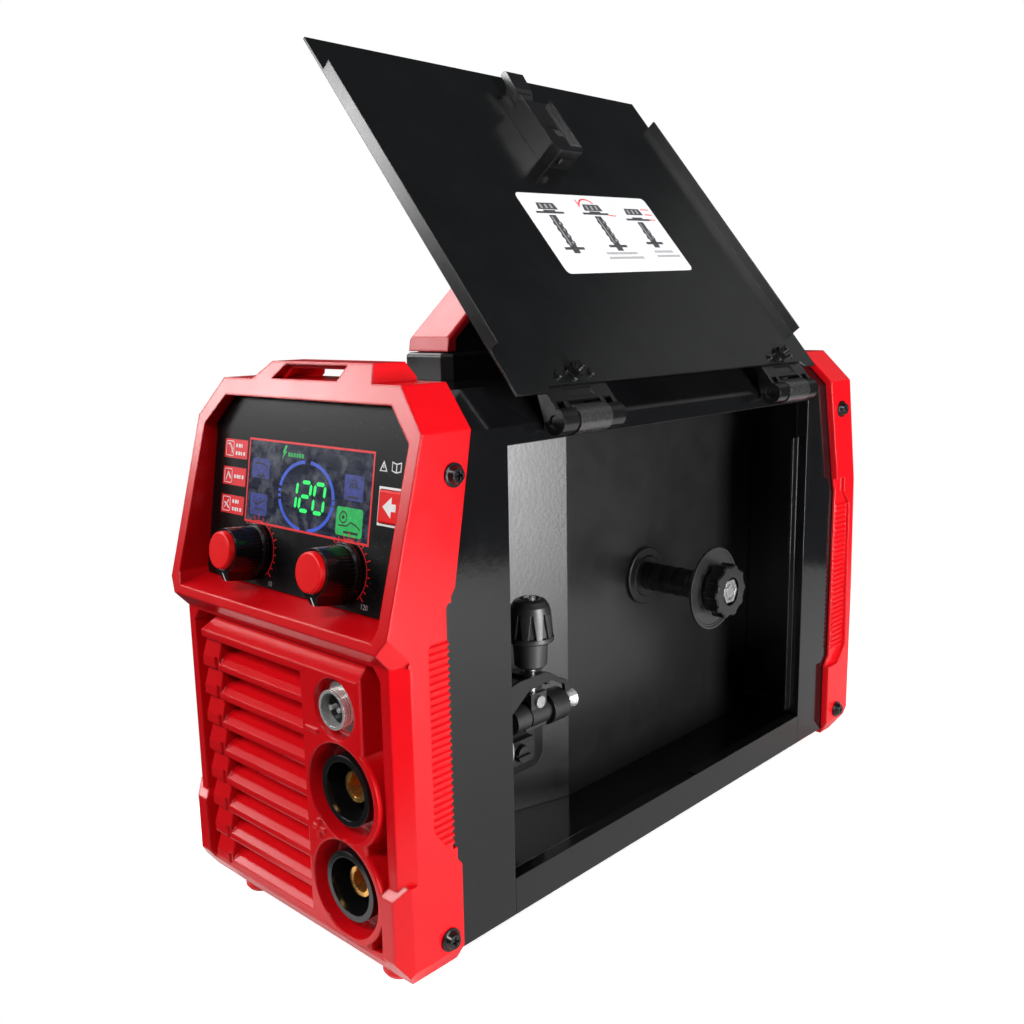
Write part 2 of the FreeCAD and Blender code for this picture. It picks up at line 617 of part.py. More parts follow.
def hinges():
    outer = DOOR_INNER - SHEET
    r = HINGE_KNUCKLE_R
    shoulder = Vector(CASE_TOP_HALF - CASE_HALF, 0, CASE_TOP - CASE_SHOULDER)
    shoulder.normalize()
    normal = Vector(shoulder.z, 0, -shoulder.x)
    start = Vector(CASE_HALF, 0, CASE_SHOULDER)
    centre = Vector(HINGE_X, 0, HINGE_Z)
    along = (centre - start).dot(shoulder)
    pins = []
    for name, y0 in zip(("front", "rear"), HINGE_Y):
        y1 = y0 + HINGE_LENGTH
        arm = 9.6
        leaf = block((outer - 2.0, outer), (y0, y1), (6.9, 31.0))
        window = block((outer - 0.8, outer + 1), (y0 + arm + 2, y1 - arm - 2), (8.4, 13.0))
        arms = []
        for low in (y0, y1 - arm):
            teardrop = prism([(-r, 0), (-r + 0.9, 2.4), (outer - 1.9, 20.0), (outer, 20.0),
                              (r - 0.8, 2.9), (r, 0)], low, low + arm, "y")
            arm_body = fuse(teardrop, rod(r, (0, low, 0), (0, low + arm, 0)))
            pocket = block((0.4, 8), (low + 2.3, low + arm - 2.3), (3.2, 17.0))
            arms.append(arm_body.cut(pocket))
        leaf = fuse(leaf.cut(window), *arms)
        leaf = leaf.cut(rod(HINGE_PIN_R + 0.05, (0, y0 - 1, 0), (0, y1 + 1, 0)))
        screw_y = y0 + HINGE_SCREW_AT
        leaf = leaf.cut(rod(2.1, (-8, screw_y, 19.5), (8, screw_y, 19.5)))
        leaf = leaf.cut(block((outer, outer + 9), (y0 - 1, y1 + 1), (3.0, 50)))
        parts[name + "_hinge_door_leaf"] = on_door(leaf)

        # the case leaf: centre knuckle and a plate on the slanted shoulder
        k0, k1 = y0 + arm + FIT, y1 - arm - FIT
        p0 = start + shoulder * (along - 3.6) + normal * 0.02
        corners = [p0, p0 + shoulder * 19.0, p0 + shoulder * 19.0 + normal * 2.0, p0 + normal * 2.0]
        plate = prism([(p.x, p.z) for p in corners], k0, k1, "y")
        knuckle = rod(HINGE_BARREL_R, (HINGE_X, k0, HINGE_Z), (HINGE_X, k1, HINGE_Z))
        slope = [(p.x, p.z) for p in (
            start + normal * 0.02 - shoulder * 30, start + normal * 0.02 + shoulder * 40,
            start + normal * 30 + shoulder * 40, start + normal * 30 - shoulder * 30)]
        above_case = prism(slope, k0 - 1, k1 + 1, "y")
        fixed = fuse(plate, knuckle).common(above_case)
        fixed = fixed.cut(rod(HINGE_PIN_R, (HINGE_X, k0 - 1, HINGE_Z), (HINGE_X, k1 + 1, HINGE_Z)))
        parts[name + "_hinge_case_leaf"] = fixed
        pins.append(rod(HINGE_PIN_R, (HINGE_X, y0 + 0.8, HINGE_Z), (HINGE_X, y1 - 0.8, HINGE_Z)))

    parts["hinge_pins"] = group(pins)
    screws = []
    for y0 in HINGE_Y:
        y = y0 + HINGE_SCREW_AT
        bolt = rod(1.9, (outer - 3.5, y, 19.5), (DOOR_INNER + 6.4, y, 19.5))
        threads = [
            tube(3.0, 1.6, (DOOR_INNER + 3.9 + k * 0.7, y, 19.5), (DOOR_INNER + 4.2 + k * 0.7, y, 19.5))
            for k in range(3)
        ]
        bolt = bolt.cut(Part.makeCompound(threads))
        washer = rod(4.6, (DOOR_INNER, y, 19.5), (DOOR_INNER + 0.8, y, 19.5))
        nut = hexagon(6.6, (DOOR_INNER + 0.7, y, 19.5), (DOOR_INNER + 3.6, y, 19.5))
        screws.append(on_door(fuse(bolt, washer, nut)))
        for step in (-10.6, 10.6):
            pad = cone(2.1, 1.7, (DOOR_INNER, y + step, 18.6), (DOOR_INNER + 1.3, y + step, 18.6))
            screws.append(on_door(pad))
    parts["hinge_screws"] = group(screws)


def latch():
    inner = DOOR_INNER
    y0, y1 = 181.5, 205.0
    shell = block((inner, inner + 12), (y0, y1), (143, 180))
    shell = shell.cut(prism([(y0 - 1, 142), (y0 + 4.5, 142), (y0 - 1, 149)], 0, 30, "x"))
    shell = shell.cut(prism([(y1 + 1, 142), (y1 - 4.5, 142), (y1 + 1, 149)], 0, 30, "x"))
    tray = block((inner + 9.6, inner + 14), (y0 + 1.2, y1 - 1.2), (147, 182))
    recess = block((inner + 8.4, inner + 10), (y0 + 8.0, y0 + 17.0), (156.5, 163.5))
    shell = shell.cut(tray).cut(recess)
    channel = block((inner + 0.4, inner + 7.4), (y0 + 5.0, y1 - 5.0), (154, 190))
    neck = block((inner, inner + 3.2), (y0, y1), (179.5, 189))
    shell = fuse(shell, neck).cut(channel)
    shell = shell.cut(block((inner - 3, inner + 0.6), (187.0, 200.0), (150.5, 171.5)))
    step = block((inner + 5, inner + 8), (y0 + 6, y0 + 13), (140.4, 143.2))
    frame = block((inner - 4.2, inner + 4), (187.0, 200.0), (150.5, 152.3))
    parts["latch_housing"] = on_door(fuse(shell, step, frame))

    # sliding bolt with a finger tab that shows through the door
    tab = block((inner - 3.6, inner + 1.0), (187.6, 199.4), (162.0, 170.0))
    slide = block((inner + 1.0, inner + 6.0), (y0 + 5.4, y1 - 5.4), (160, 186.0))
    hook = prism([(inner + 1.0, 184), (inner + 5.4, 184), (inner + 8.6, 190.0),
                  (inner + 9.4, 200.6), (inner + 8.4, 202.0), (inner + 5.6, 202.0),
                  (inner + 4.8, 194.4), (inner + 1.0, 192.0)], y0 + 5.4, y1 - 5.4, "y")
    hollow = block((inner - 1, inner + 7.4), (y0 + 6.6, y1 - 6.6), (187.6, 205))
    bolt = fuse(tab, slide, hook.cut(hollow))
    parts["latch_bolt"] = on_door(bolt)


# ---- control panel -------------------------------------------------------------------
UPRIGHT = math.cos(math.radians(PANEL_TILT))


def upright_z(z):
    """Height on the panel before it is leaned back."""
    return PANEL_Y_AT[1] + (z - PANEL_Y_AT[1]) / UPRIGHT


def control_panel():
    y0 = PANEL_Y_AT[0]
    outline = both_sides([(55.7, 232.1), (68.7, 219.3), (68.7, 154.8), (67.6, 152.0)])
    slab = [
        (panel_face_y(150), 150), (panel_face_y(240), 240),
        (panel_face_y(240) + PANEL_THICK - 0.1, 240), (panel_face_y(150) + PANEL_THICK - 0.1, 150),
    ]
    plate = prism(outline, -10, 60, "y").common(prism(slab, -80, 80, "x"))
    screen_z = (upright_z(179.0), upright_z(213.5))
    screen_x = (-41.1, 42.4)
    opening = block((screen_x[0] - 0.15, screen_x[1] + 0.15), (y0 - 5, y0 + 8),
                    (screen_z[0] - 0.15, screen_z[1] + 0.15))
    button_x = (48.2, 61.2)
    button_z = (upright_z(188.2), upright_z(200.6))
    button_hole = block((button_x[0] - 0.3, button_x[1] + 0.3), (y0 - 5, y0 + 8),
                        (button_z[0] - 0.3, button_z[1] + 0.3))
    plate = plate.cut(on_panel(opening)).cut(on_panel(button_hole))
    knob_z = upright_z(KNOB_Z)
    for x in KNOB_X:
        plate = plate.cut(on_panel(rod(3.7, (x, y0 - 5, knob_z), (x, y0 + 8, knob_z))))
    parts["control_panel"] = plate
    window = block(screen_x, (y0 + 0.1, y0 + 1.7), screen_z)
    parts["display_window"] = on_panel(window)

    board = block((-54, 58.5), (y0 + 12.0, y0 + 13.6), (upright_z(158.5), upright_z(218)))
    module = block((-44, 45.5), (y0 + 2.3, y0 + 12.0), (screen_z[0] - 1.5, screen_z[1] + 1.5))
    chips = [
        block((x, x + 9), (y0 + 13.6, y0 + 15.4), (z, z + 9))
        for x, z in ((-30, 185), (-8, 196), (14, 184), (32, 200))
    ]
    posts = [
        rod(1.8, (x, y0 + 2.1, z), (x, y0 + 12.0, z)) for x in (-51, 50.8) for z in (162.5, 215.0)
    ]
    switch = block((50.2, 57.2), (y0 + 8.4, y0 + 12.0), (190.8, 197.8))
    parts["control_board"] = on_panel(fuse(board, module, switch, *(chips + posts)))

    cap = block(button_x, (y0 - 1.3, y0 + 4.0), button_z)
    edges = [edge for edge in cap.Edges if edge.BoundBox.YMax < y0 - 1.29]
    cap = cap.makeFillet(0.7, edges)
    rim = block((button_x[0] - 1.5, button_x[1] + 1.5), (y0 + 3.0, y0 + 4.2),
                (button_z[0] - 1.5, button_z[1] + 1.5))
    stem = rod(2.0, (53.7, y0 + 4.0, 194.3), (53.7, y0 + 7.2, 194.3))
    parts["function_button"] = on_panel(fuse(cap, rim, stem))

    pots = []
    for name, x in zip(("left", "right"), KNOB_X):
        body = tube(8.0, 3.1, (x, y0 + 2.0, knob_z), (x, y0 + 10.0, knob_z))
        bush = tube(3.6, 3.1, (x, y0 - 3.0, knob_z), (x, y0 + 2.2, knob_z))
        nut = tube(5.6, 3.6, (x, y0 - 2.0, knob_z), (x, y0 - 0.05, knob_z))
        tabs = block((x - 5, x + 5), (y0 + 7.0, y0 + 12.0), (knob_z + 7.0, knob_z + 8.2))
        pots.append(on_panel(fuse(body, bush, nut, tabs)))
        shaft = rod(3.05, (x, y0 - 13.0, knob_z), (x, y0 + 9.0, knob_z))
        ring = rod(11.4, (x, y0 - 3.4, knob_z), (x, y0 - 1.2, knob_z))
        barrel = cone(9.5, 10.3, (x, y0 - 16.4, knob_z), (x, y0 - 3.4, knob_z))
        flutes = []
        for k in range(40):
            angle = math.radians(9 * k)
            u = x + 10.3 * math.cos(angle)
            v = knob_z + 10.3 * math.sin(angle)
            flutes.append(rod(0.42, (u, y0 - 17, v), (u, y0 - 3.6, v)))
        barrel = barrel.cut(Part.makeCompound(flutes))
        nose = prism([(x - 4.4, knob_z - 8.0), (x + 4.4, knob_z - 8.0), (x + 2.0, knob_z - 13.0),
                      (x - 2.0, knob_z - 13.0)], y0 - 16.4, y0 - 1.2, "y")
        nose_slope = prism([(y0 - 17, knob_z - 14), (y0 - 14.0, knob_z - 14),
                            (y0 - 16.4, knob_z - 9.4), (y0 - 17, knob_z - 9.4)], x - 6, x + 6, "x")
        nose = nose.cut(nose_slope)
        hollow = tube(6.2, 3.05, (x, y0 - 4.2, knob_z), (x, y0 - 1.0, knob_z))
        knob = fuse(ring, barrel, nose).cut(hollow)
        knob = knob.cut(rod(8.4, (x, y0 - 18, knob_z), (x, y0 - 15.6, knob_z)))
        parts[name + "_knob"] = on_panel(fuse(knob, shaft))
        top = cone(8.3, 7.9, (x, y0 - 15.6, knob_z), (x, y0 - 18.9, knob_z))
        rim = [edge for edge in top.Edges if edge.BoundBox.YMax < y0 - 18.8]
        parts[name + "_knob_cap"] = on_panel(top.makeFillet(0.8, rim))
    parts["potentiometers"] = group(pots)


# ---- sockets in the front ------------------------------------------------------------
def front_sockets():
    bodies = []
    inserts = []
    for name, z in zip(("upper", "lower"), SOCKET_Z):
        x = SOCKET_X
        body = fuse(rod(14.6, (x, 3.2, z), (x, 11.95, z)), rod(13.0, (x, 11.9, z), (x, 26, z)),
                    tube(15.6, 13.0, (x, 17.7, z), (x, 21.3, z)))
        body = body.cut(rod(12.0, (x, 0, z), (x, 16, z)))
        body = body.cut(rod(6.4, (x, 0, z), (x, 40, z)))
        insert = rod(6.4, (x, 8.5, z), (x, 29.0, z))
        bore = rod(SOCKET_BORE_R, (x, 0, z), (x, 25.5, z))
        key = block((x - 2.2, x + 2.2), (0, 25.5), (z + 3.0, z + 5.7))
        insert = insert.cut(bore).cut(key)
        if name == "upper":
            insert = insert.cut(rod(1.2, (x, 20, z), (x, 40, z)))
        bodies.append(body)
        inserts.append(insert)
    parts["socket_bodies"] = group(bodies)
    parts["socket_inserts"] = group(inserts)

    x, z = SIGNAL_X, SIGNAL_Z
    shell = fuse(rod(8.0, (x, -0.2, z), (x, 4.6, z)), rod(7.5, (x, 4.5, z), (x, 5.0, z)),
                 rod(7.7, (x, 5.0, z), (x, 19.5, z)))
    grooves = [tube(9.0, 7.5, (x, 0.7 + k * 1.1, z), (x, 1.2 + k * 1.1, z)) for k in range(4)]
    shell = shell.cut(Part.makeCompound(grooves))
    ring = hexagon(19.0, (x, 4.9, z), (x, 6.45, z)).common(rod(10.4, (x, 4.9, z), (x, 6.5, z)))
    rear = hexagon(19.0, (x, 17.6, z), (x, 19.4, z))
    shell = fuse(shell, ring, rear).cut(rod(6.8, (x, -1, z), (x, 25, z)))
    parts["signal_shell"] = shell
    insert = rod(6.8, (x, 4.0, z), (x, 19.0, z))
    key = rod(0.9, (x, 1.4, z + 5.8), (x, 4.2, z + 5.8))
    insert = fuse(insert, key)
    pins = []
    for step in (-2.4, 2.4):
        insert = insert.cut(rod(1.0, (x + step, 0, z), (x + step, 30, z)))
        pins.append(rod(1.0, (x + step, 1.2, z), (x + step, 23.5, z)))
    parts["signal_insert"] = insert
    parts["signal_pins"] = group(pins)


# ---- spool holder --------------------------------------------------------------------
def spool_holder():
    y, z = SPOOL_Y, SPOOL_Z
    root = DIVIDER_X + 0.5
    flange = fuse(rod(15.9, (root, y, z), (root + 1.0, y, z)),
                  cone(15.9, 15.3, (root + 1.0, y, z), (root + 1.5, y, z)),
                  cone(11.6, 10.8, (root + 1.4, y, z), (root + 2.4, y, z)))
    sleeve = rod(7.5, (root + 2.0, y, z), (59.8, y, z))
    shoulders = [
        cone(7.9, 7.5, (root + 8.0 + k * 7.6, y, z), (root + 9.6 + k * 7.6, y, z))
        for k in range(5)
    ]
    grooves = [
        tube(8.5, 6.9, (root + 7.2 + k * 7.6, y, z), (root + 8.0 + k * 7.6, y, z))
        for k in range(5)
    ]
    hub = fuse(flange, sleeve, *shoulders).cut(Part.makeCompound(grooves))
    hub = hub.cut(rod(4.05, (0, y, z), (80, y, z)))
    parts["spool_hub"] = hub
    front = fuse(cone(21.0, 21.8, (59.8, y, z), (60.5, y, z)), rod(21.8, (60.5, y, z), (61.0, y, z)),
                 tube(21.8, 20.6, (60.9, y, z), (61.8, y, z)), tube(20.7, 19.4, (60.9, y, z), (61.3, y, z)),
                 rod(12.6, (60.9, y, z), (61.3, y, z)), rod(6.5, (61.2, y, z), (62.6, y, z)))
    front = front.cut(rod(4.05, (50, y, z), (80, y, z)))
    parts["spool_front_flange"] = front
    parts["spool_washer"] = tube(10.6, 4.05, (62.8, y, z), (63.8, y, z))
    knob = rod(13.1, (64.1, y, z), (71.8, y, z))
    lobes = []
    for k in range(10):
        angle = math.radians(36 * k)
        u, v = y + 11.7 * math.cos(angle), z + 11.7 * math.sin(angle)
        lobes.append(rod(2.7, (64.1, u, v), (71.8, u, v)))
    knob = fuse(knob, *lobes)
    rim = [edge for edge in knob.Edges if edge.BoundBox.XMin > 71.7]
    knob = knob.makeChamfer(0.7, rim)
    knob = knob.cut(rod(7.4, (68.3, y, z), (73, y, z))).cut(rod(4.05, (60, y, z), (73, y, z)))
    parts["spool_knob"] = knob
    bolt = fuse(rod(4.0, (6.0, y, z), (69.0, y, z)), hexagon(13.0, (9.6, y, z), (15.1, y, z)),
                hexagon(11.6, (68.5, y, z), (71.3, y, z)))
    bolt = bolt.cut(tube(4.4, 3.4, (70.6, y, z), (72, y, z)))
    parts["spool_bolt"] = bolt


# ---- wire feeder ---------------------------------------------------------------------
def wire_feeder():
    y, x = ROLL_Y, WIRE_X
    drive_z = WIRE_Z - 0.2 - DRIVE_ROLL_R
    idler_z = WIRE_Z + 0.2 + IDLER_ROLL_R
    plate = block((20, 23), (69, 140), (44, 110))
    corners = [edge for edge in plate.Edges
               if edge.BoundBox.XLength > 2 and edge.BoundBox.ZLength < 0.1
               and edge.BoundBox.YLength < 0.1]
    plate = plate.makeFillet(8.0, corners)
    posts = [rod(4.0, (8.6, 133, v), (20.5, 133, v)) for v in (54, 100)]
    arm_post = fuse(rod(4.0, (23, 62 + 10, 97 + 6), (24.0, 72, 103)))
    ear = fuse(block((23, 32.4), (62 - 4.5, 74), (93, 101)), rod(4.5, (23, 62, 97), (32.4, 62, 97)))
    ear_root = block((20, 23), (57.5, 72), (91, 103))
    base = block((23, 34.0), (96, 122), (56, 72))
    plate = fuse(plate, ear, ear_root, arm_post, base, *posts)
    plate = plate.cut(rod(3.6, (15, y, drive_z), (30, y, drive_z)))
    plate = plate.cut(rod(2.0, (15, 62, 97), (60, 62, 97)))
    parts["feeder_plate"] = plate

    # geared motor behind the plate, reaching through the window in the wall
    box = block((1.0, 19.9), (78.5, 117.5), (49, 83.5))
    motor = rod(16.0, (-48, 100, 66), (1.0, 100, 66))
    cap = rod(6.0, (-52, 100, 66), (-48, 100, 66))
    box = fuse(box, motor, cap).cut(rod(3.05, (0, y, drive_z), (30, y, drive_z)))
    parts["feeder_motor"] = box

    shaft = fuse(rod(3.0, (2.0, y, drive_z), (36.0, y, drive_z)),
                 rod(5.0, (31.0, y, drive_z), (36.0, y, drive_z)),
                 rod(3.0, (35.0, y, drive_z), (46.2, y, drive_z)))
    roll = rod(DRIVE_ROLL_R, (36.1, y, drive_z), (45.0, y, drive_z))
    groove = cone(DRIVE_ROLL_R + 2, DRIVE_ROLL_R - 0.6, (x - 1.6, y, drive_z), (x, y, drive_z))
    groove_2 = cone(DRIVE_ROLL_R - 0.6, DRIVE_ROLL_R + 2, (x, y, drive_z), (x + 1.6, y, drive_z))
    outer = tube(DRIVE_ROLL_R + 3, DRIVE_ROLL_R - 0.8, (x - 0.45, y, drive_z),
                 (x + 0.45, y, drive_z))
    roll = roll.cut(outer).cut(tube(9.4, 6.4, (44.2, y, drive_z), (46, y, drive_z)))
    roll = roll.cut(rod(3.0, (30, y, drive_z), (50, y, drive_z)))
    parts["drive_roll"] = roll
    cap = cone(5.2, 4.4, (46.2, y, drive_z), (48.4, y, drive_z))
    cap = fuse(cap, tube(5.2, 3.0, (45.0, y, drive_z), (46.2, y, drive_z)))
    cap = cap.cut(block((47.2, 50), (y - 6, y + 6), (drive_z - 0.6, drive_z + 0.6)))
    parts["drive_shaft"] = fuse(shaft, cap)

    idler = rod(IDLER_ROLL_R, (36.2, y, idler_z), (44.8, y, idler_z))
    idler = idler.cut(rod(2.05, (30, y, idler_z), (50, y, idler_z)))
    idler = idler.cut(tube(8.6, 5.6, (44.2, y, idler_z), (46, y, idler_z)))
    parts["idler_roll"] = idler
    idler_pin = fuse(rod(2.0, (33.4, y, idler_z), (48.0, y, idler_z)),
                     rod(4.0, (47.6, y, idler_z), (49.2, y, idler_z)))

    side = [
        (57.5, 93.0), (61, 91.5), (78.5, 85.5), (88.5, 86.0), (104, 97.0), (116, 98.0),
        (120.6, 97.8), (123.6, 96.0), (126.0, 94.6), (128.0, 94.2), (128.8, 92.8), (129.1, 90.2),
        (131.6, 90.2), (131.2, 93.4), (129.8, 95.7), (127.7, 96.6), (125.9, 97.0),
        (124.3, 97.9), (122.3, 99.3), (120.2, 100.9), (117.5, 102.2), (115.0, 103.0),
        (98, 103.0), (88, 101.0), (78, 102.0), (66, 101.5), (60, 101.5), (57.5, 99.5),
    ]
    sides = [prism(side, 33.5, 35.5, "x"), prism(side, 45.5, 47.5, "x")]
    bridge = block((33.5, 47.5), (104.5, 115.0), (100.2, 103.0))
    arm = fuse(sides[0], sides[1], bridge)
    arm = arm.cut(block((36.9, 44.1), (TENSION_Y, 125), (99, 106)))
    arm = arm.cut(rod(3.6, (WIRE_X, TENSION_Y, 99), (WIRE_X, TENSION_Y, 106)))
    arm = arm.cut(rod(2.05, (30, 62, 97), (50, 62, 97)))
    arm = arm.cut(rod(2.0, (30, y, idler_z), (50, y, idler_z)))
    parts["pressure_arm"] = arm
    parts["idler_pin"] = idler_pin
    arm_pin = fuse(rod(2.0, (20.5, 62, 97), (48.0, 62, 97)),
                   rod(3.6, (48.0, 62, 97), (49.4, 62, 97)))

    # tension screw on a swinging stem
    t = TENSION_Y
    stem = fuse(rod(2.6, (x, t, 89.0), (x, t, 118)), rod(2.0, (x, t, 117), (x, t, 137.4)),
                cone(3.6, 2.8, (x, t, 136.4), (x, t, 138.0)),
                rod(3.6, (38.1, t, 89.0), (42.9, t, 89.0)))
    stem = stem.cut(hexagon_up(3.4, (x, t, 137.0), 2.0))
    stem = stem.cut(rod(1.55, (30, t, 89.0), (50, t, 89.0)))
    parts["tension_stem"] = stem
    profile = [(2.05, 105.3), (6.6, 105.3), (7.6, 106.2), (8.3, 117.6), (10.6, 117.6),
               (11.0, 118.2), (11.0, 119.6), (10.7, 120.2), (9.9, 130.6), (8.9, 134.2),
               (7.2, 136.6), (5.2, 137.4), (4.2, 137.2), (4.2, 136.1), (2.05, 136.1)]
    outline = Part.makePolygon([Vector(x + r, t, v) for r, v in profile + profile[:1]])
    knob = Part.Face(outline).revolve(Vector(x, t, 0), Vector(0, 0, 1), 360)
    flutes = []
    for k in range(10):
        wedge = prism([(-1.9, 120.2), (1.9, 120.2), (0.4, 131.5), (-0.4, 131.5)], 8.6, 14, "y")
        wedge = wedge.cut(prism([(8.6, 119), (9.5, 119), (8.2, 133), (8.2, 119)], -3, 3, "x"))
        wedge.rotate(Vector(0, 0, 0), Vector(0, 0, 1), 36.0 * k + 12)
        wedge.translate(Vector(x, t, 0))
        flutes.append(wedge)
    knob = knob.cut(Part.makeCompound(flutes)).cut(rod(2.65, (x, t, 100), (x, t, 118.5)))
    parts["tension_knob"] = knob

    # inlet guide, which also carries the stem's pivot
    def line(radius, low, high):
        return rod(radius, (x, low, WIRE_Z), (x, high, WIRE_Z))

    guide = fuse(line(6.2, 97.5, 106.6), line(5.4, 106, 108), line(6.2, 107.6, 119.6),
                 line(5.4, 119, 122), line(7.9, 121, 131.8), line(5.4, 131.5, 134.5),
                 block((23, 36.5), (104, 121), (76.5, 87)), block((36, 45), (104, 118), (76.5, 85)))
    ears = [block(side, (107.5, 118), (82, 93.2)) for side in ((35.6, 37.6), (43.4, 45.4))]
    guide = fuse(guide, *ears)
    guide = guide.cut(rod(5.0, (37.6, t, 89.0), (43.4, t, 89.0)))
    guide = guide.cut(block((37.6, 43.4), (t, 120.8), (85.4, 94)))
    guide = guide.cut(rod(1.5, (30, t, 89.0), (50, t, 89.0)))
    guide = guide.cut(line(1.1, 90, 140))
    guide = guide.cut(rod(IDLER_ROLL_R + 1.5, (30, y, idler_z), (50, y, idler_z)))
    guide = guide.cut(rod(DRIVE_ROLL_R + 1.0, (30, y, drive_z), (50, y, drive_z)))
    parts["inlet_guide"] = guide
    stem_pin = fuse(rod(1.5, (35.5, t, 89.0), (46.6, t, 89.0)),
                    rod(2.9, (45.6, t, 89.0), (46.8, t, 89.0)))
    parts["feeder_pins"] = group([arm_pin, stem_pin])
    coils = []
    for k in range(6):
        radius = 2.4 + 0.38 * k
        coils.append(Part.makeTorus(radius, 0.62, Vector(x, 135.15 + k * 1.15, WIRE_Z), Vector(0, 1, 0)))
    parts["inlet_spring"] = fuse(*coils)
    outlet = tube(3.0, 1.1, (x, 29.2, WIRE_Z), (x, 71.0, WIRE_Z))
    parts["outlet_tube"] = outlet
    bracket = fuse(block((34.0, 37.5), (99, 117), (57, 69)), rod(4.2, (37.5, 108, 63), (40.5, 108, 63)))
    slot = block((39.2, 42), (103, 113), (62.4, 63.6))
    parts["feeder_plate"] = fuse(parts["feeder_plate"], bracket.cut(slot))


# ---- power electronics and fan -------------------------------------------------------
def electronics():
    board = block((-62, -60.2), (66, 300), (26, 206))
    posts = [rod(3.0, (-68.1, u, v), (-62, u, v)) for u in (74, 292) for v in (46, 198)]
    bars = block((-60.2, -57.0), (90, 200), (30, 36))
    parts["inverter_board"] = fuse(board, bars, *posts)
    sinks = []
    for z, start in ((44, 122), (120, 84)):
        base = block((-60.1, -54), (start, 182), (z, z + 62))
        fins = [block((-54, -34), (start, 182), (z + 2 + k * 7.0, z + 4.2 + k * 7.0))
                for k in range(9)]
        sinks.append(fuse(base, *fins))
    parts["heat_sinks"] = group(sinks)
    core = block((-60.1, -20), (196, 244), (44, 92))
    windings = fuse(block((-57, -23), (190, 196), (50, 86)), block((-57, -23), (244, 250), (50, 86)))
    coil = Part.makeTorus(20, 9, Vector(-50.5, 222, 142), Vector(1, 0, 0))
    foot = block((-60.1, -50), (217, 227), (112, 124))
    parts["wound_parts"] = group([fuse(core, windings), fuse(coil, foot)])
    cans = []
    for u in (262, 290):
        for v in (60, 92, 176):
            can = rod(12.0, (-60.1, u, v), (-22, u, v))
            cans.append(can.makeChamfer(0.8, [e for e in can.Edges if e.BoundBox.XMin > -22.1]))
    parts["capacitors"] = group(cans)
    bars = []
    for z in SOCKET_Z:
        bar = fuse(block((-14, 47), (26.2, 28.2), (z - 8, z + 8)),
                   block((-14, -12), (26.2, 50), (z - 8, z + 8)))
        bars.append(bar.cut(rod(6.4, (SOCKET_X, 20, z), (SOCKET_X, 40, z))))
    parts["busbars"] = group(bars)


def fan():
    x, z, half = FAN_X, FAN_Z, FAN_SIZE / 2
    y0, y1 = 319.8, 344.9
    frame = block((x - half, x + half), (y0, y1), (z - half, z + half))
    corners = [e for e in frame.Edges if e.BoundBox.YLength > 20]
    frame = frame.makeFillet(4.0, corners)
    frame = frame.cut(rod(37.6, (x, y0 - 1, z), (x, y1 + 1, z)))
    for u in (-1, 1):
        for v in (-1, 1):
            cx, cz = x + u * 35.75, z + v * 35.75
            frame = frame.cut(rod(2.1, (cx, y0 - 1, cz), (cx, y1 + 1, cz)))
    spokes = [block((x - 38, x + 38), (y0, y0 + 3), (z - 1.5, z + 1.5)),
              block((x - 1.5, x + 1.5), (y0, y0 + 3), (z - 38, z + 38)),
              rod(17.0, (x, y0, z), (x, y0 + 3, z)), rod(3.0, (x, y0, z), (x, y0 + 12, z))]
    parts["fan_frame"] = fuse(frame, *spokes)
    hub = rod(17.0, (x, y0 + 4, z), (x, y1 - 2.2, z)).cut(rod(3.05, (x, y0, z), (x, y0 + 12.5, z)))
    blades = []
    for k in range(7):
        outline = [(x + 15, z - 1.2), (x + 36.6, z - 1.2), (x + 36.6, z + 1.2), (x + 15, z + 1.2)]
        blade = prism(outline, y0 - 2, y0 + 24, "y")
        blade.rotate(Vector(x, y0 + 12.5, z), Vector(1, 0, 0), 38)
        blade = blade.common(tube(36.6, 16, (x, y0 + 4.2, z), (x, y1 - 2.4, z)))
        blade.rotate(Vector(x, y0 + 12.5, z), Vector(0, 1, 0), 360.0 * k / 7)
        blades.append(blade)
    parts["fan_rotor"] = fuse(hub, *blades)


def mains_inlet():
    frame = fuse(block((-45.8, -24.2), (328, 348.2), (184.2, 213.8)),
                 block((-48, -22), (346.55, 348.2), (182, 216)))
    frame = frame.cut(block((-44.0, -26.0), (334, 352), (186.5, 211.5)))
    z = 199.0
    frame = frame.cut(rod(1.5, (-46.2, 345.5, z), (-23.8, 345.5, z)))
    parts["mains_switch"] = frame
    rocker = prism([(337.5, z - 5), (345.0, z - 11.8), (351.6, z - 11.2), (348.4, z),
                    (348.9, z + 11.2), (344.2, z + 11.8), (337.5, z + 5)], -43.7, -26.3, "x")
    rocker = fuse(rocker, rod(1.45, (-45.6, 345.5, z), (-24.4, 345.5, z)))
    parts["mains_rocker"] = rocker
    x, z = -40.0, 52.0
    gland = fuse(rod(8.0, (x, 338, z), (x, 350, z)), hexagon(22.0, (x, 346.6, z), (x, 351, z)),
                 cone(10.2, 7.4, (x, 351, z), (x, 362, z)), hexagon(22.0, (x, 340.5, z), (x, 345.2, z)))
    parts["cable_gland"] = gland.cut(rod(4.6, (x, 330, z), (x, 370, z)))


def outer_screws(screws):
    spots = [(34.0, 207.0, 63.5), (25.2, 22.4, 63.5), (343.8, 207.0, 68.6), (352.6, 22.4, 64.0)]
    for side in (1, -1):
        for y, z, tip in spots:
            head_at = (side * (BEZEL_HALF + 0.03), y, z)
            screws.append(pan_screw(side * tip, head_at, side, 4.7, 2.0))
    parts["case_screws"] = group(screws)


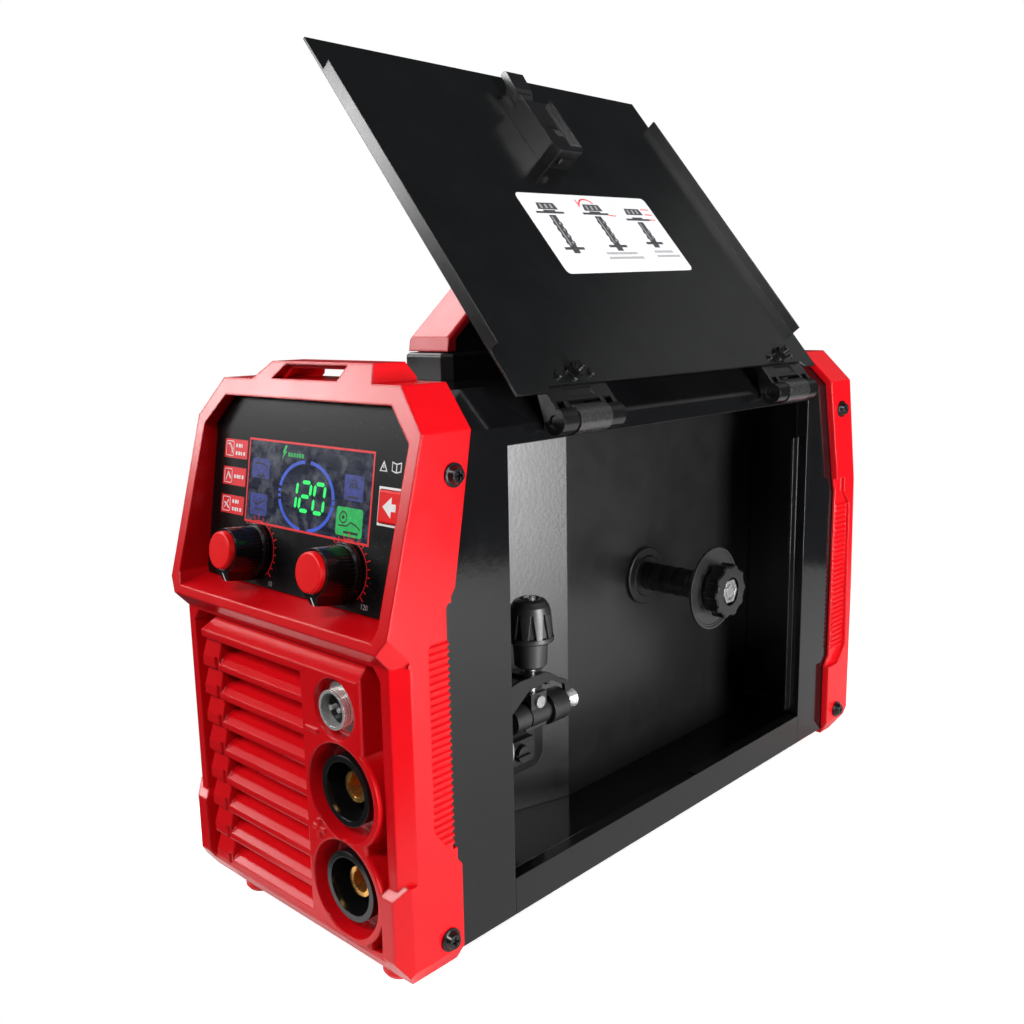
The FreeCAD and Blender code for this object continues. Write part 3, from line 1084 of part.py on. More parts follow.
front_bezel()
rear_bezel()
case_cover()
base_tray()
divider_wall()
rear_panel()
hidden_screws = handle()
door()
hinges()
latch()
control_panel()
front_sockets()
spool_holder()
wire_feeder()
electronics()
fan()
mains_inlet()
outer_screws(hidden_screws)

# ---- one shared origin: bottom centre of the machine with its door open ----------------
bounds = FreeCAD.BoundBox()
for shape in parts.values():
    bounds.add(shape.BoundBox)
shift = Vector(-bounds.Center.x, -bounds.Center.y, -bounds.ZMin)
print("shift", round(shift.x, 4), round(shift.y, 4), round(shift.z, 4))
print("size", round(bounds.XLength, 3), round(bounds.YLength, 3), round(bounds.ZLength, 3))

os.makedirs("parts", exist_ok=True)
for name, shape in parts.items():
    moved = shape.copy()
    moved.translate(shift)
    moved.exportStep("parts/" + name + ".step")
    print(name, len(shape.Solids), round(shape.Volume / 1000.0, 2), shape.isValid())
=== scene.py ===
import json
import math

import bmesh
import bpy
from mathutils import Matrix, Vector


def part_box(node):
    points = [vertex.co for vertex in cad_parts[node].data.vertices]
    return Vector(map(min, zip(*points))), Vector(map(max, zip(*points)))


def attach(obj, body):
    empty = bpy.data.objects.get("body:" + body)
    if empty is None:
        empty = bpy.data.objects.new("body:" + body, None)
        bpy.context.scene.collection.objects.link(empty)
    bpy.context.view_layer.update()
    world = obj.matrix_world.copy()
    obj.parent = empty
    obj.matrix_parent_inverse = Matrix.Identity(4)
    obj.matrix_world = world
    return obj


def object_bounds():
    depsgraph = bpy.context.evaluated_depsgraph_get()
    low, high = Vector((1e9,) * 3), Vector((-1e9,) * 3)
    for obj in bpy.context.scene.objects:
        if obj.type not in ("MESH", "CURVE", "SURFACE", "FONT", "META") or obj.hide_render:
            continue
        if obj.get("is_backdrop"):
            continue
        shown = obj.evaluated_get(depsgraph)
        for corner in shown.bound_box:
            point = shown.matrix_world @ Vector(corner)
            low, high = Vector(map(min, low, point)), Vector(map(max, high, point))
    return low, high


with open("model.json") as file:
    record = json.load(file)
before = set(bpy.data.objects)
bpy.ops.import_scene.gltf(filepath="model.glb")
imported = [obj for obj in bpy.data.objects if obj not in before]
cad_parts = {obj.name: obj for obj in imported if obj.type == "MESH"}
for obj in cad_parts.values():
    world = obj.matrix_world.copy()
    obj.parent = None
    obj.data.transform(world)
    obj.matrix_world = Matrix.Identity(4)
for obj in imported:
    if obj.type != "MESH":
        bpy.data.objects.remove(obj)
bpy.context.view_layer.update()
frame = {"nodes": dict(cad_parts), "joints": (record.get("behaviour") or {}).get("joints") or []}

MM = 0.001

# The machine's own axes: x from the middle of the case, y from the front datum, z from the
# floor, in millimetres. The steel case starts CASE_FRONT behind that datum.
CASE_FRONT = 22.0
case_low, case_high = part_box("case_cover")
ORIGIN = Vector(((case_low.x + case_high.x) / 2, case_low.y - CASE_FRONT * MM, 0.0))


def at(x, y, z):
    """Point in the shared frame, metres, from the machine's own millimetres."""
    return ORIGIN + Vector((x, y, z)) * MM


# ---- materials -----------------------------------------------------------------------
def node(tree, kind, **values):
    """New shader node; each value sets a property or an input of that name."""
    made = tree.nodes.new(kind)
    for key, value in values.items():
        if hasattr(made, key):
            setattr(made, key, value)
        else:
            made.inputs[key.replace("_", " ")].default_value = value
    return made


def mix_colours(tree, first, second, factor, mode="MIX"):
    """Colour mix; first, second and factor may be sockets or values."""
    made = tree.nodes.new("ShaderNodeMix")
    made.data_type = "RGBA"
    made.blend_type = mode
    made.clamp_result = False
    for index, value in ((0, factor), (6, first), (7, second)):
        if isinstance(value, bpy.types.NodeSocket):
            tree.links.new(value, made.inputs[index])
        else:
            made.inputs[index].default_value = value
    return made.outputs[2]


def ranged(tree, source, low, high, to_low, to_high):
    """The source socket, mapped from one range to another and clamped."""
    made = node(tree, "ShaderNodeMapRange")
    made.inputs["From Min"].default_value = low
    made.inputs["From Max"].default_value = high
    made.inputs["To Min"].default_value = to_low
    made.inputs["To Max"].default_value = to_high
    tree.links.new(source, made.inputs["Value"])
    return made.outputs["Result"]


def noise(tree, coords, scale, detail=3.0, rough=0.5, stretch=None):
    """Noise of `scale` features for each metre, optionally stretched along the axes."""
    made = node(tree, "ShaderNodeTexNoise")
    made.inputs["Scale"].default_value = scale
    made.inputs["Detail"].default_value = detail
    made.inputs["Roughness"].default_value = rough
    if stretch:
        mapping = node(tree, "ShaderNodeMapping")
        mapping.inputs["Scale"].default_value = stretch
        tree.links.new(coords, mapping.inputs["Vector"])
        coords = mapping.outputs["Vector"]
    tree.links.new(coords, made.inputs["Vector"])
    return made.outputs["Fac"]


def surface(name, colour, rough, metallic=0.0, vary=0.10, cloud=35.0, rough_vary=0.06,
            grain=None, wave=None, glint_specks=0.0, sockets=None, stretch=None, edge=0.0):
    """Principled material with clouded colour, uneven roughness and layered bump.

    grain is (features per metre, height in metres) of the fine surface texture and wave the
    same for a slow unevenness. The speck amount adds fine pale specks to the colour, painted
    glints that stand for the sparkle of a textured face. edge is the radius in millimetres
    that moulding or folding leaves on the corners."""
    made = bpy.data.materials.new(name)
    made.use_nodes = True
    tree = made.node_tree
    shader = tree.nodes["Principled BSDF"]
    coords = node(tree, "ShaderNodeTexCoord").outputs["Object"]

    cloud_value = noise(tree, coords, cloud, 4.0, 0.55, stretch)
    spread = ranged(tree, cloud_value, 0.3, 0.7, 0.0, 1.0)
    dark = tuple(channel * (1 - vary) for channel in colour) + (1.0,)
    light = tuple(channel * (1 + vary) for channel in colour) + (1.0,)
    tint = mix_colours(tree, dark, light, spread)
    # painted glints: sparse pale specks mixed into the colour stand for the sparkle of the surface
    if glint_specks:
        specks = ranged(tree, noise(tree, coords, 1400.0, 1.0), 0.70, 0.78, 0.0, glint_specks)
        tint = mix_colours(tree, tint, (0.55, 0.55, 0.55, 1.0), specks)
    tree.links.new(tint, shader.inputs["Base Color"])

    smear = noise(tree, coords, cloud * 2.3, 5.0, 0.6, stretch)
    tree.links.new(ranged(tree, smear, 0.3, 0.7, rough - rough_vary, rough + rough_vary),
                   shader.inputs["Roughness"])
    shader.inputs["Metallic"].default_value = metallic

    normal = None
    if edge:
        corner = node(tree, "ShaderNodeBevel")
        corner.samples = 4
        corner.inputs["Radius"].default_value = edge * MM
        normal = corner.outputs["Normal"]
    for layer in (wave, grain):
        if not layer:
            continue
        bump = node(tree, "ShaderNodeBump")
        bump.inputs["Strength"].default_value = 1.0
        bump.inputs["Distance"].default_value = layer[1]
        tree.links.new(noise(tree, coords, layer[0], 2.0, 0.5, stretch), bump.inputs["Height"])
        if normal:
            tree.links.new(normal, bump.inputs["Normal"])
        normal = bump.outputs["Normal"]
    if normal:
        tree.links.new(normal, shader.inputs["Normal"])
    for key, value in (sockets or {}).items():
        shader.inputs[key].default_value = value
    return made


RED = surface("red_housing", (0.62, 0.003, 0.007), 0.24, edge=1.3, vary=0.04, grain=(1100.0, 0.000012),
              wave=(30.0, 0.00002), rough_vary=0.02, sockets={"Specular IOR Level": 0.36})
RED_GRIP = surface("red_grip", (0.52, 0.006, 0.012), 0.36, edge=1.3, vary=0.04, grain=(1100.0, 0.000014),
                   rough_vary=0.02, sockets={"Specular IOR Level": 0.55})
GLOSS_BLACK = surface("black_powder_coat", (0.0035, 0.0036, 0.004), 0.11, edge=0.6, vary=0.2,
                      wave=(330.0, 0.000018), grain=(1200.0, 0.000003), rough_vary=0.03,
                      sockets={"Specular IOR Level": 0.55})
DOOR_BLACK = surface("black_powder_coat_door", (0.0045, 0.0047, 0.005), 0.24, edge=0.6, vary=0.2,
                     wave=(120.0, 0.000004), rough_vary=0.02,
                     sockets={"Specular IOR Level": 0.5})
WALL_BLACK = surface("textured_powder_coat", (0.008, 0.008, 0.0083), 0.33, edge=0.8, vary=0.14,
                     grain=(520.0, 0.00005), rough_vary=0.03,
                     sockets={"Specular IOR Level": 0.62})
BLACK_PLASTIC = surface("black_plastic", (0.007, 0.007, 0.0075), 0.32, edge=0.6, vary=0.2,
                        grain=(1100.0, 0.00001), rough_vary=0.05)
SATIN_PLASTIC = surface("satin_black_plastic", (0.010, 0.010, 0.0105), 0.40, edge=0.5, vary=0.15,
                        grain=(1100.0, 0.00001), rough_vary=0.05,
                        sockets={"Specular IOR Level": 0.7})
GLOSS_PLASTIC = surface("gloss_black_plastic", (0.006, 0.006, 0.0065), 0.16, edge=0.5, vary=0.2,
                        grain=(1300.0, 0.000008), rough_vary=0.05)
LATCH_PLASTIC = surface("latch_plastic", (0.009, 0.009, 0.0095), 0.2, edge=0.4, vary=0.2,
                        grain=(1100.0, 0.000012), rough_vary=0.05, sockets={"Specular IOR Level": 0.9})
BLACK_STEEL = surface("black_steel", (0.005, 0.005, 0.005), 0.22, edge=0.5, vary=0.2,
                      grain=(1100.0, 0.000012), rough_vary=0.05)
CAST_STEEL = surface("cast_steel", (0.022, 0.022, 0.0215), 0.24, edge=0.35, vary=0.35,
                     cloud=900.0, grain=(900.0, 0.00008), rough_vary=0.10,
                     sockets={"Specular IOR Level": 0.9})
INSERT_BLACK = surface("connector_insert", (0.003, 0.003, 0.003), 0.5, vary=0.2,
                       sockets={"Specular IOR Level": 0.12})
# the panel's pale specks are painted glints for the sparkle of its textured overlay
PANEL = surface("panel_overlay", (0.0035, 0.0035, 0.004), 0.34, vary=0.2, glint_specks=0.12,
                grain=(1900.0, 0.00002), rough_vary=0.05, sockets={"Specular IOR Level": 0.2})
RED_PLASTIC = surface("red_plastic", (0.80, 0.004, 0.006), 0.34, edge=0.5, vary=0.04,
                      grain=(1100.0, 0.000008), rough_vary=0.03,
                      sockets={"Specular IOR Level": 0.3})
CHROME = surface("chrome", (1.0, 0.99, 0.97), 0.15, edge=0.12, metallic=0.74, vary=0.05,
                 rough_vary=0.06, cloud=260.0)
ZINC = surface("zinc", (0.55, 0.55, 0.56), 0.30, edge=0.25, metallic=1.0, vary=0.10, rough_vary=0.10,
               cloud=300.0)
BRASS = surface("brass", (0.95, 0.52, 0.14), 0.22, edge=0.3, metallic=0.93, vary=0.08, rough_vary=0.09,
                cloud=240.0, stretch=(1.0, 0.25, 1.0))
BOARD = surface("circuit_board", (0.012, 0.11, 0.035), 0.35, vary=0.3, cloud=90.0)
ALUMINIUM = surface("aluminium", (0.62, 0.62, 0.63), 0.34, metallic=1.0, vary=0.05,
                    stretch=(1.0, 0.1, 1.0))
COPPER = surface("copper_winding", (0.50, 0.18, 0.07), 0.35, metallic=0.8, vary=0.2, cloud=200.0,
                 stretch=(1.0, 1.0, 8.0))
WHITE_PRINT = surface("white_print", (0.80, 0.80, 0.80), 0.45, vary=0.04, cloud=300.0)
RED_PRINT = surface("red_print", (0.78, 0.012, 0.018), 0.40, vary=0.04, cloud=300.0)
STICKER = surface("sticker_film", (0.78, 0.78, 0.80), 0.38, vary=0.02, cloud=60.0,
                  wave=(60.0, 0.00004))
GREY_PRINT = surface("grey_print", (0.06, 0.06, 0.065), 0.45, vary=0.25, cloud=700.0)
PALE_PRINT = surface("pale_print", (0.34, 0.34, 0.35), 0.45, vary=0.1, cloud=700.0)


def glowing(name, colour, strength, vary=0.25, scale=420.0):
    """Lit symbol of the display, slightly uneven like a printed filter over a lamp."""
    made = surface(name, tuple(channel * 0.3 for channel in colour), 0.4, vary=vary, cloud=scale)
    tree = made.node_tree
    shader = tree.nodes["Principled BSDF"]
    coords = node(tree, "ShaderNodeTexCoord").outputs["Object"]
    uneven = ranged(tree, noise(tree, coords, scale, 3.0), 0.35, 0.65, 0.0, 1.0)
    dark = tuple(channel * (1 - vary) for channel in colour) + (1.0,)
    light = tuple(channel * (1 + vary) for channel in colour) + (1.0,)
    tree.links.new(mix_colours(tree, dark, light, uneven), shader.inputs["Emission Color"])
    shader.inputs["Emission Strength"].default_value = strength
    return made


LIT_GREEN = glowing("lit_green", (0.01, 0.85, 0.14), 0.9, vary=0.08)
DIM_GREEN = glowing("dim_green", (0.005, 0.42, 0.08), 0.7, vary=0.2)
LIT_BLUE = glowing("lit_blue", (0.03, 0.09, 0.62), 0.6, vary=0.15)
DIM_BLUE = glowing("dim_blue", (0.018, 0.03, 0.22), 0.6, vary=0.5)


def display_glass():
    """Dark window with the pale mottled film that covers it."""
    made = surface("dark_display", (0.012, 0.014, 0.024), 0.22, vary=0.1)
    tree = made.node_tree
    shader = tree.nodes["Principled BSDF"]
    coords = node(tree, "ShaderNodeTexCoord").outputs["Object"]
    patches = ranged(tree, noise(tree, coords, 130.0, 6.0, 0.62), 0.47, 0.74, 0.0, 1.0)
    streaks = ranged(tree, noise(tree, coords, 240.0, 4.0, 0.5, (0.3, 1.0, 2.4)), 0.45, 0.7, 0, 1)
    film = mix_colours(tree, (0.010, 0.013, 0.030, 1), (0.15, 0.16, 0.19, 1), patches)
    film = mix_colours(tree, film, (0.05, 0.06, 0.10, 1), ranged(tree, streaks, 0, 1, 0, 0.5))
    tree.links.new(film, shader.inputs["Base Color"])
    return made


DISPLAY = display_glass()

NODE_MATERIALS = {
    RED: ("front_bezel", "rear_bezel"),
    RED_GRIP: ("handle_grip",),
    GLOSS_BLACK: ("case_cover", "base_tray", "rear_panel"),
    DOOR_BLACK: ("door_panel",),
    WALL_BLACK: ("divider_wall",),
    SATIN_PLASTIC: ("spool_hub", "spool_front_flange", "tension_knob", "inlet_guide"),
    BLACK_PLASTIC: ("handle_frame", "feeder_plate", "capacitors", "pressure_arm", "fan_frame",
                    "fan_rotor", "cable_gland"),
    INSERT_BLACK: ("signal_insert",),
    LATCH_PLASTIC: ("latch_housing", "latch_bolt"),
    GLOSS_PLASTIC: ("left_knob", "right_knob", "socket_bodies",
                    "spool_knob", "mains_switch", "mains_rocker"),
    BLACK_STEEL: ("front_hinge_door_leaf", "rear_hinge_door_leaf", "hinge_pins",
                  "hinge_screws", "feeder_motor", "case_screws"),
    CAST_STEEL: ("front_hinge_case_leaf", "rear_hinge_case_leaf"),
    PANEL: ("control_panel",),
    DISPLAY: ("display_window",),
    RED_PLASTIC: ("function_button", "left_knob_cap", "right_knob_cap"),
    CHROME: ("signal_shell", "signal_pins", "inlet_spring", "spool_washer"),
    ZINC: ("potentiometers", "spool_bolt", "drive_shaft",
           "drive_roll", "idler_roll", "idler_pin", "feeder_pins", "tension_stem"),
    BRASS: ("socket_inserts", "outlet_tube", "busbars"),
    BOARD: ("control_board", "inverter_board"),
    ALUMINIUM: ("heat_sinks",),
    COPPER: ("wound_parts",),
}
for material, names in NODE_MATERIALS.items():
    for name in names:
        cad = frame["nodes"][name]
        cad.data.materials.clear()
        cad.data.materials.append(material)


# ---- thin printed and lit marks ------------------------------------------------------
class Sheet:
    """A flat face to draw on: an origin, its two directions and the way that it faces."""

    def __init__(self, origin, across, up):
        self.origin = origin
        self.across = across.normalized()
        self.up = up.normalized()
        self.out = self.across.cross(self.up)

    def point(self, u, v, lift=0.0):
        return self.origin + (self.across * u + self.up * v + self.out * lift) * MM


PANEL_TILT = math.radians(9.0)
PANEL_PIVOT = (0.0, 20.0, 190.0)
panel_face = Sheet(at(*PANEL_PIVOT), Vector((1, 0, 0)),
                   Vector((0, math.sin(PANEL_TILT), math.cos(PANEL_TILT))))
hinge = next(joint for joint in frame["joints"] if joint["name"] == "door_hinge")
DOOR_LEAN = math.radians(39.1)
door_face = Sheet(Vector((hinge["pos_m"][0], ORIGIN.y, hinge["pos_m"][2])), Vector((0, 1, 0)),
                  Vector((-math.sin(DOOR_LEAN), 0, math.cos(DOOR_LEAN))))
DOOR_INNER = 5.2


def height(z):
    """Distance up the panel's face from its pivot, for a height above the floor."""
    return (z - PANEL_PIVOT[2]) / math.cos(PANEL_TILT)


def marks(name, outlines, sheet, lift, thick, material, body):
    """One mesh of thin plates, one for each outline, that rides on a body."""
    mesh = bpy.data.meshes.new(name)
    built = bmesh.new()
    for outline in outlines:
        low = [built.verts.new(sheet.point(u, v, lift - thick)) for u, v in outline]
        top = [built.verts.new(sheet.point(u, v, lift)) for u, v in outline]
        built.faces.new(top)
        built.faces.new(list(reversed(low)))
        for k in range(len(outline)):
            after = (k + 1) % len(outline)
            built.faces.new((low[k], low[after], top[after], top[k]))
    bmesh.ops.recalc_face_normals(built, faces=built.faces)
    built.to_mesh(mesh)
    built.free()
    made = bpy.data.objects.new(name, mesh)
    bpy.context.scene.collection.objects.link(made)
    mesh.materials.append(material)
    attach(made, body)
    return made


def rectangle(u0, v0, u1, v1):
    return [(u0, v0), (u1, v0), (u1, v1), (u0, v1)]


def rounded(u0, v0, u1, v1, r, steps=5):
    """Rectangle with its corners rounded to the radius r."""
    points = []
    for cu, cv, start in ((u1 - r, v1 - r, 0), (u0 + r, v1 - r, 90), (u0 + r, v0 + r, 180),
                          (u1 - r, v0 + r, 270)):
        for k in range(steps + 1):
            angle = math.radians(start + 90.0 * k / steps)
            points.append((cu + r * math.cos(angle), cv + r * math.sin(angle)))
    return points


def turned(outline, degrees, centre):
    """The outline turned about a centre in its own plane."""
    c, s = math.cos(math.radians(degrees)), math.sin(math.radians(degrees))
    return [(centre[0] + (u - centre[0]) * c - (v - centre[1]) * s,
             centre[1] + (u - centre[0]) * s + (v - centre[1]) * c) for u, v in outline]


def stroke(points, width):
    """Outline of a polyline with mitred corners."""
    left, right = [], []
    for k, (u, v) in enumerate(points):
        before = Vector(points[k]) - Vector(points[k - 1]) if k else None
        after = Vector(points[k + 1]) - Vector(points[k]) if k + 1 < len(points) else None
        ways = [way.normalized() for way in (before, after) if way is not None]
        side = Vector((0, 0))
        for way in ways:
            side += Vector((-way.y, way.x))
        side.normalize()
        square = Vector((-ways[0].y, ways[0].x))
        side = side * (width / 2 / max(0.4, side.dot(square)))
        left.append((u + side.x, v + side.y))
        right.append((u - side.x, v - side.y))
    return left + right[::-1]


def arc(cu, cv, r, width, start, end, steps=24):
    """Band of a ring between two angles in degrees."""
    angles = [math.radians(start + (end - start) * k / steps) for k in range(steps + 1)]
    outer = [(cu + (r + width / 2) * math.cos(a), cv + (r + width / 2) * math.sin(a))
             for a in angles]
    inner = [(cu + (r - width / 2) * math.cos(a), cv + (r - width / 2) * math.sin(a))
             for a in angles]
    return outer + inner[::-1]


def disc(cu, cv, r, steps=20):
    return [(cu + r * math.cos(2 * math.pi * k / steps), cv + r * math.sin(2 * math.pi * k / steps))
            for k in range(steps)]


def border(u0, v0, u1, v1, width):
    """Four strips just outside a rectangle."""
    return [rectangle(u0 - width, v0 - width, u1 + width, v0),
            rectangle(u0 - width, v1, u1 + width, v1 + width),
            rectangle(u0 - width, v0, u0, v1),
            rectangle(u1, v0, u1 + width, v1)]


# display: red border, ring, figures and symbols
SCREEN = (-41.1, height(179.0), 42.4, height(213.5))
PRINT = 0.06                # how far print stands proud of the panel
GLASS = -0.04               # and lit symbols from the same face, just under it
marks("screen_border", border(*SCREEN, 0.9), panel_face, PRINT, 0.05, RED_PRINT, "machine")
RING = (0.0, 0.0, 14.1)
RING_U, RING_V = 0.8, height(193.0)
RING_STRETCH = 1.3          # the ring is an ellipse, this much wider than tall
ring_parts = [arc(*RING, 1.4, start, end) for start, end in
              ((2, 84), (96, 168), (192, 262), (278, 350))]
ring_parts += [arc(*RING, 1.4, start, start + 5, 3) for start in (-7, 173, 182, 355)]
ring_parts = [[(RING_U + RING_STRETCH * u, RING_V + v) for u, v in shape]
              for shape in ring_parts]
marks("screen_ring", ring_parts, panel_face, GLASS, 0.05, LIT_BLUE, "machine")


def figure(value, u, v, wide, tall, thick, lean=0.09):
    """Seven segment figure with its lower left corner at (u, v)."""
    on = {"0": "abcdef", "1": "bc", "2": "abged"}[value]
    half = tall / 2
    gap = thick * 0.32
    spans = {
        "a": ((0, tall), (wide, tall)), "g": ((0, half), (wide, half)), "d": ((0, 0), (wide, 0)),
        "f": ((0, half), (0, tall)), "e": ((0, 0), (0, half)),
        "b": ((wide, half), (wide, tall)), "c": ((wide, 0), (wide, half)),
    }
    shapes = []
    for key in on:
        start, end = (Vector(point) for point in spans[key])
        way = (end - start).normalized()
        side = Vector((-way.y, way.x)) * thick / 2
        start, end = start + way * gap, end - way * gap
        tip = way * thick * 0.5
        outline = [start, start + tip + side, end - tip + side, end, end - tip - side,
                   start + tip - side]
        shapes.append([(u + point.x + point.y * lean, v + point.y) for point in outline])
    return shapes


digits = []
for value, u in (("1", -12.6), ("2", -3.4), ("0", 6.0)):
    digits += figure(value, u, height(187.1), 6.6, 11.8, 1.65)
marks("screen_figures", digits, panel_face, GLASS + 0.02, 0.05, LIT_GREEN, "machine")

bolt = [(-17.2, 209.6), (-15.6, 212.6), (-14.2, 212.6), (-15.4, 210.4), (-14.2, 210.4),
        (-17.4, 206.6), (-16.4, 209.6)]
bars = [rectangle(-13.2 + k * 1.9, height(208.3 - k * 0.02), -11.9 + k * 1.9, height(209.9))
        for k in range(6)]
marks("screen_bolt", [[(u, height(v)) for u, v in bolt]] + bars, panel_face, GLASS, 0.05,
      DIM_GREEN, "machine")
blue_pads = [rounded(-38.6, height(197.6), -25.8, height(206.0), 1.0),
             rounded(-38.6, height(181.6), -26.0, height(191.0), 1.0),
             rounded(25.6, height(194.4), 37.6, height(204.4), 1.0)]
marks("screen_symbols", blue_pads, panel_face, GLASS, 0.05, DIM_BLUE, "machine")
green_pad = [rounded(22.0, height(180.4), 38.4, height(191.6), 1.2)]
marks("screen_mode", green_pad, panel_face, GLASS, 0.05, DIM_GREEN, "machine")
DARK_PRINT = surface("screen_print", (0.004, 0.005, 0.008), 0.4, vary=0.3, cloud=500.0)
shade = [
    arc(26.4, height(187.6), 2.2, 0.6, 0, 350), disc(26.4, height(187.6), 0.8),
    stroke([(23.4, height(184.2)), (29.0, height(184.4)), (31.2, height(186.0)),
            (34.4, height(185.2)), (37.2, height(183.6))], 0.6),
    rectangle(27.0, height(181.4), 36.0, height(182.4)),
    stroke([(-36.6, height(203.6)), (-32.0, height(203.9)), (-27.6, height(202.8))], 0.8),
    arc(-32.2, height(200.4), 2.4, 0.6, 200, 340),
    rectangle(-35.0, height(198.2), -29.0, height(198.8)),
    stroke([(-36.8, height(187.4)), (-33.0, height(186.2)), (-28.0, height(188.6))], 0.8),
    stroke([(-35.6, height(184.4)), (-29.0, height(184.0))], 0.6),
    arc(31.6, height(198.0), 3.0, 0.6, 20, 160), arc(31.6, height(201.0), 1.5, 0.5, 0, 350),
    rectangle(28.4, height(195.4), 35.0, height(196.2)),
]
marks("screen_symbol_lines", shade, panel_face, GLASS + 0.02, 0.05, DARK_PRINT, "machine")

# left column: red pads with white process symbols
pads, symbols = [], []
for low, high, kind in ((204.5, 212.8, 0), (192.6, 200.6, 1), (180.1, 188.2, 2)):
    v0, v1 = height(low), height(high)
    pads.append(rounded(-61.3, v0, -43.4, v1, 0.5))
    inset = rounded(-60.0, v0 + 1.0, -54.2, v1 - 1.0, 0.8)
    symbols += [stroke(inset + inset[:2], 0.32)]
    u, v = -57.1, (v0 + v1) / 2
    if kind == 0:
        symbols += [stroke([(u - 1.9, v + 2.0), (u - 0.2, v + 2.0), (u + 1.4, v + 0.2),
                            (u + 1.9, v - 2.0)], 0.7),
                    stroke([(u + 0.3, v + 1.4), (u + 1.9, v - 0.4)], 0.9)]
    if kind == 1:
        symbols += [stroke([(u - 1.8, v - 2.0), (u - 0.2, v + 1.6), (u + 0.6, v + 0.6)], 0.6),
                    stroke([(u - 0.2, v + 1.6), (u + 2.0, v - 1.2)], 0.9)]
    if kind == 2:
        symbols += [stroke([(u - 1.9, v - 2.0), (u + 1.9, v + 2.0)], 0.5),
                    stroke([(u - 1.8, v + 0.6), (u + 0.2, v - 0.2), (u + 1.9, v - 1.9)], 0.7)]
    rows = 1 if kind == 1 else 2
    for row in range(rows):
        top = v + (1.5 if rows == 2 else 0.0) - row * 3.4
        for k, wide in enumerate((1.2, 1.5, 0.9, 1.3)[: 3 + (row + kind) % 2]):
            start = -52.4 + k * 2.0
            symbols.append(rounded(start, top - 0.8, start + wide, top + 0.8, 0.2, 2))
marks("mode_pads", pads, panel_face, PRINT, 0.05, RED_PRINT, "machine")
marks("mode_symbols", symbols, panel_face, PRINT + 0.05, 0.06, WHITE_PRINT, "machine")

# small symbols above the function button, and its white border
triangle = [(46.6, height(207.6)), (50.4, height(207.6)), (48.5, height(211.0)),
            (46.6, height(207.6)), (50.4, height(207.6))]
book = [stroke([(53.4, height(208.0)), (53.4, height(211.2)), (55.8, height(210.6)),
                (58.4, height(211.2)), (58.4, height(208.0)), (55.8, height(207.4)),
                (53.4, height(208.0)), (53.4, height(211.2))], 0.45),
        rectangle(55.6, height(207.6), 56.1, height(210.8))]
icons = [stroke(triangle, 0.5), rectangle(48.3, height(208.6), 48.7, height(209.8))] + book
icons += border(47.9, height(188.2) - 0.3, 61.5, height(200.6) + 0.3, 0.9)
marks("panel_symbols", icons, panel_face, PRINT, 0.05, WHITE_PRINT, "machine")
arrow = [[(51.0, height(194.4)), (56.0, height(198.4)), (56.0, height(195.8)),
          (58.6, height(195.8)), (58.6, height(193.0)), (56.0, height(193.0)),
          (56.0, height(190.4))]]
marks("button_arrow", arrow, panel_face, 1.36, 0.05, WHITE_PRINT, "button")

# dial scales: 21 marks from lower left to lower right, every fifth one longer
KNOBS = {"left_dial": -31.0, "right_dial": 31.0}
KNOB_V = height(167.0)
SCALE_START, SCALE_STEP = 222, 13.2
MARK_FOOT, MARK_END, LONG_MARK_END = 13.0, 14.5, 15.4
scale_marks = []
for u in KNOBS.values():
    for k in range(21):
        angle = math.radians(SCALE_START - k * SCALE_STEP)
        end = LONG_MARK_END if k % 5 == 0 else MARK_END
        c, s = math.cos(angle), math.sin(angle)
        scale_marks.append(stroke([(u + MARK_FOOT * c, KNOB_V + MARK_FOOT * s),
                                   (u + end * c, KNOB_V + end * s)], 0.4))
    scale_marks.append(arc(u, KNOB_V, 12.6, 0.35, -52, 232, 48))
marks("dial_scales", scale_marks, panel_face, PRINT, 0.05, RED_PRINT, "machine")


def lettering(name, text, u, v, size, sheet, lift, material, body):
    """Raised text centred on (u, v) of a sheet."""
    curve = bpy.data.curves.new(name, "FONT")
    curve.body = text
    curve.size = size * MM
    curve.extrude = 0.00003
    curve.align_x = "CENTER"
    curve.align_y = "CENTER"
    made = bpy.data.objects.new(name, curve)
    bpy.context.scene.collection.objects.link(made)
    basis = Matrix((sheet.across, sheet.up, sheet.out)).transposed().to_4x4()
    basis.translation = sheet.point(u, v, lift)
    made.matrix_world = basis
    curve.materials.append(material)
    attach(made, body)


for name, text, u, z in (("dial_figure_left", "10", -19.4, 153.9),
                         ("dial_figure_right", "120", 43.4, 154.8)):
    lettering(name, text, u, height(z), 3.0, panel_face, PRINT, PALE_PRINT, "machine")

# pointer lines on the sloped noses of the dials
nose_face = Sheet(panel_face.point(0, KNOB_V - 9.4, 16.4), panel_face.across,
                  panel_face.up * 4.6 + panel_face.out * 2.4)
for body, u in KNOBS.items():
    marks("pointer_" + body, [rectangle(u - 0.4, -4.3, u + 0.4, -0.4)], nose_face, 0.06, 0.06,
          WHITE_PRINT, body)

# ---- sticker on the door -------------------------------------------------------------
def tilt(shapes):
    """The sticker is stuck on a little askew."""
    return [turned(shape, 2.3, (200.0, 100.5)) for shape in shapes]


marks("door_sticker", tilt([rounded(147.0, 75.5, 253.0, 125.5, 3.0)]), door_face,
      DOOR_INNER + 0.12, 0.10, STICKER, "door")


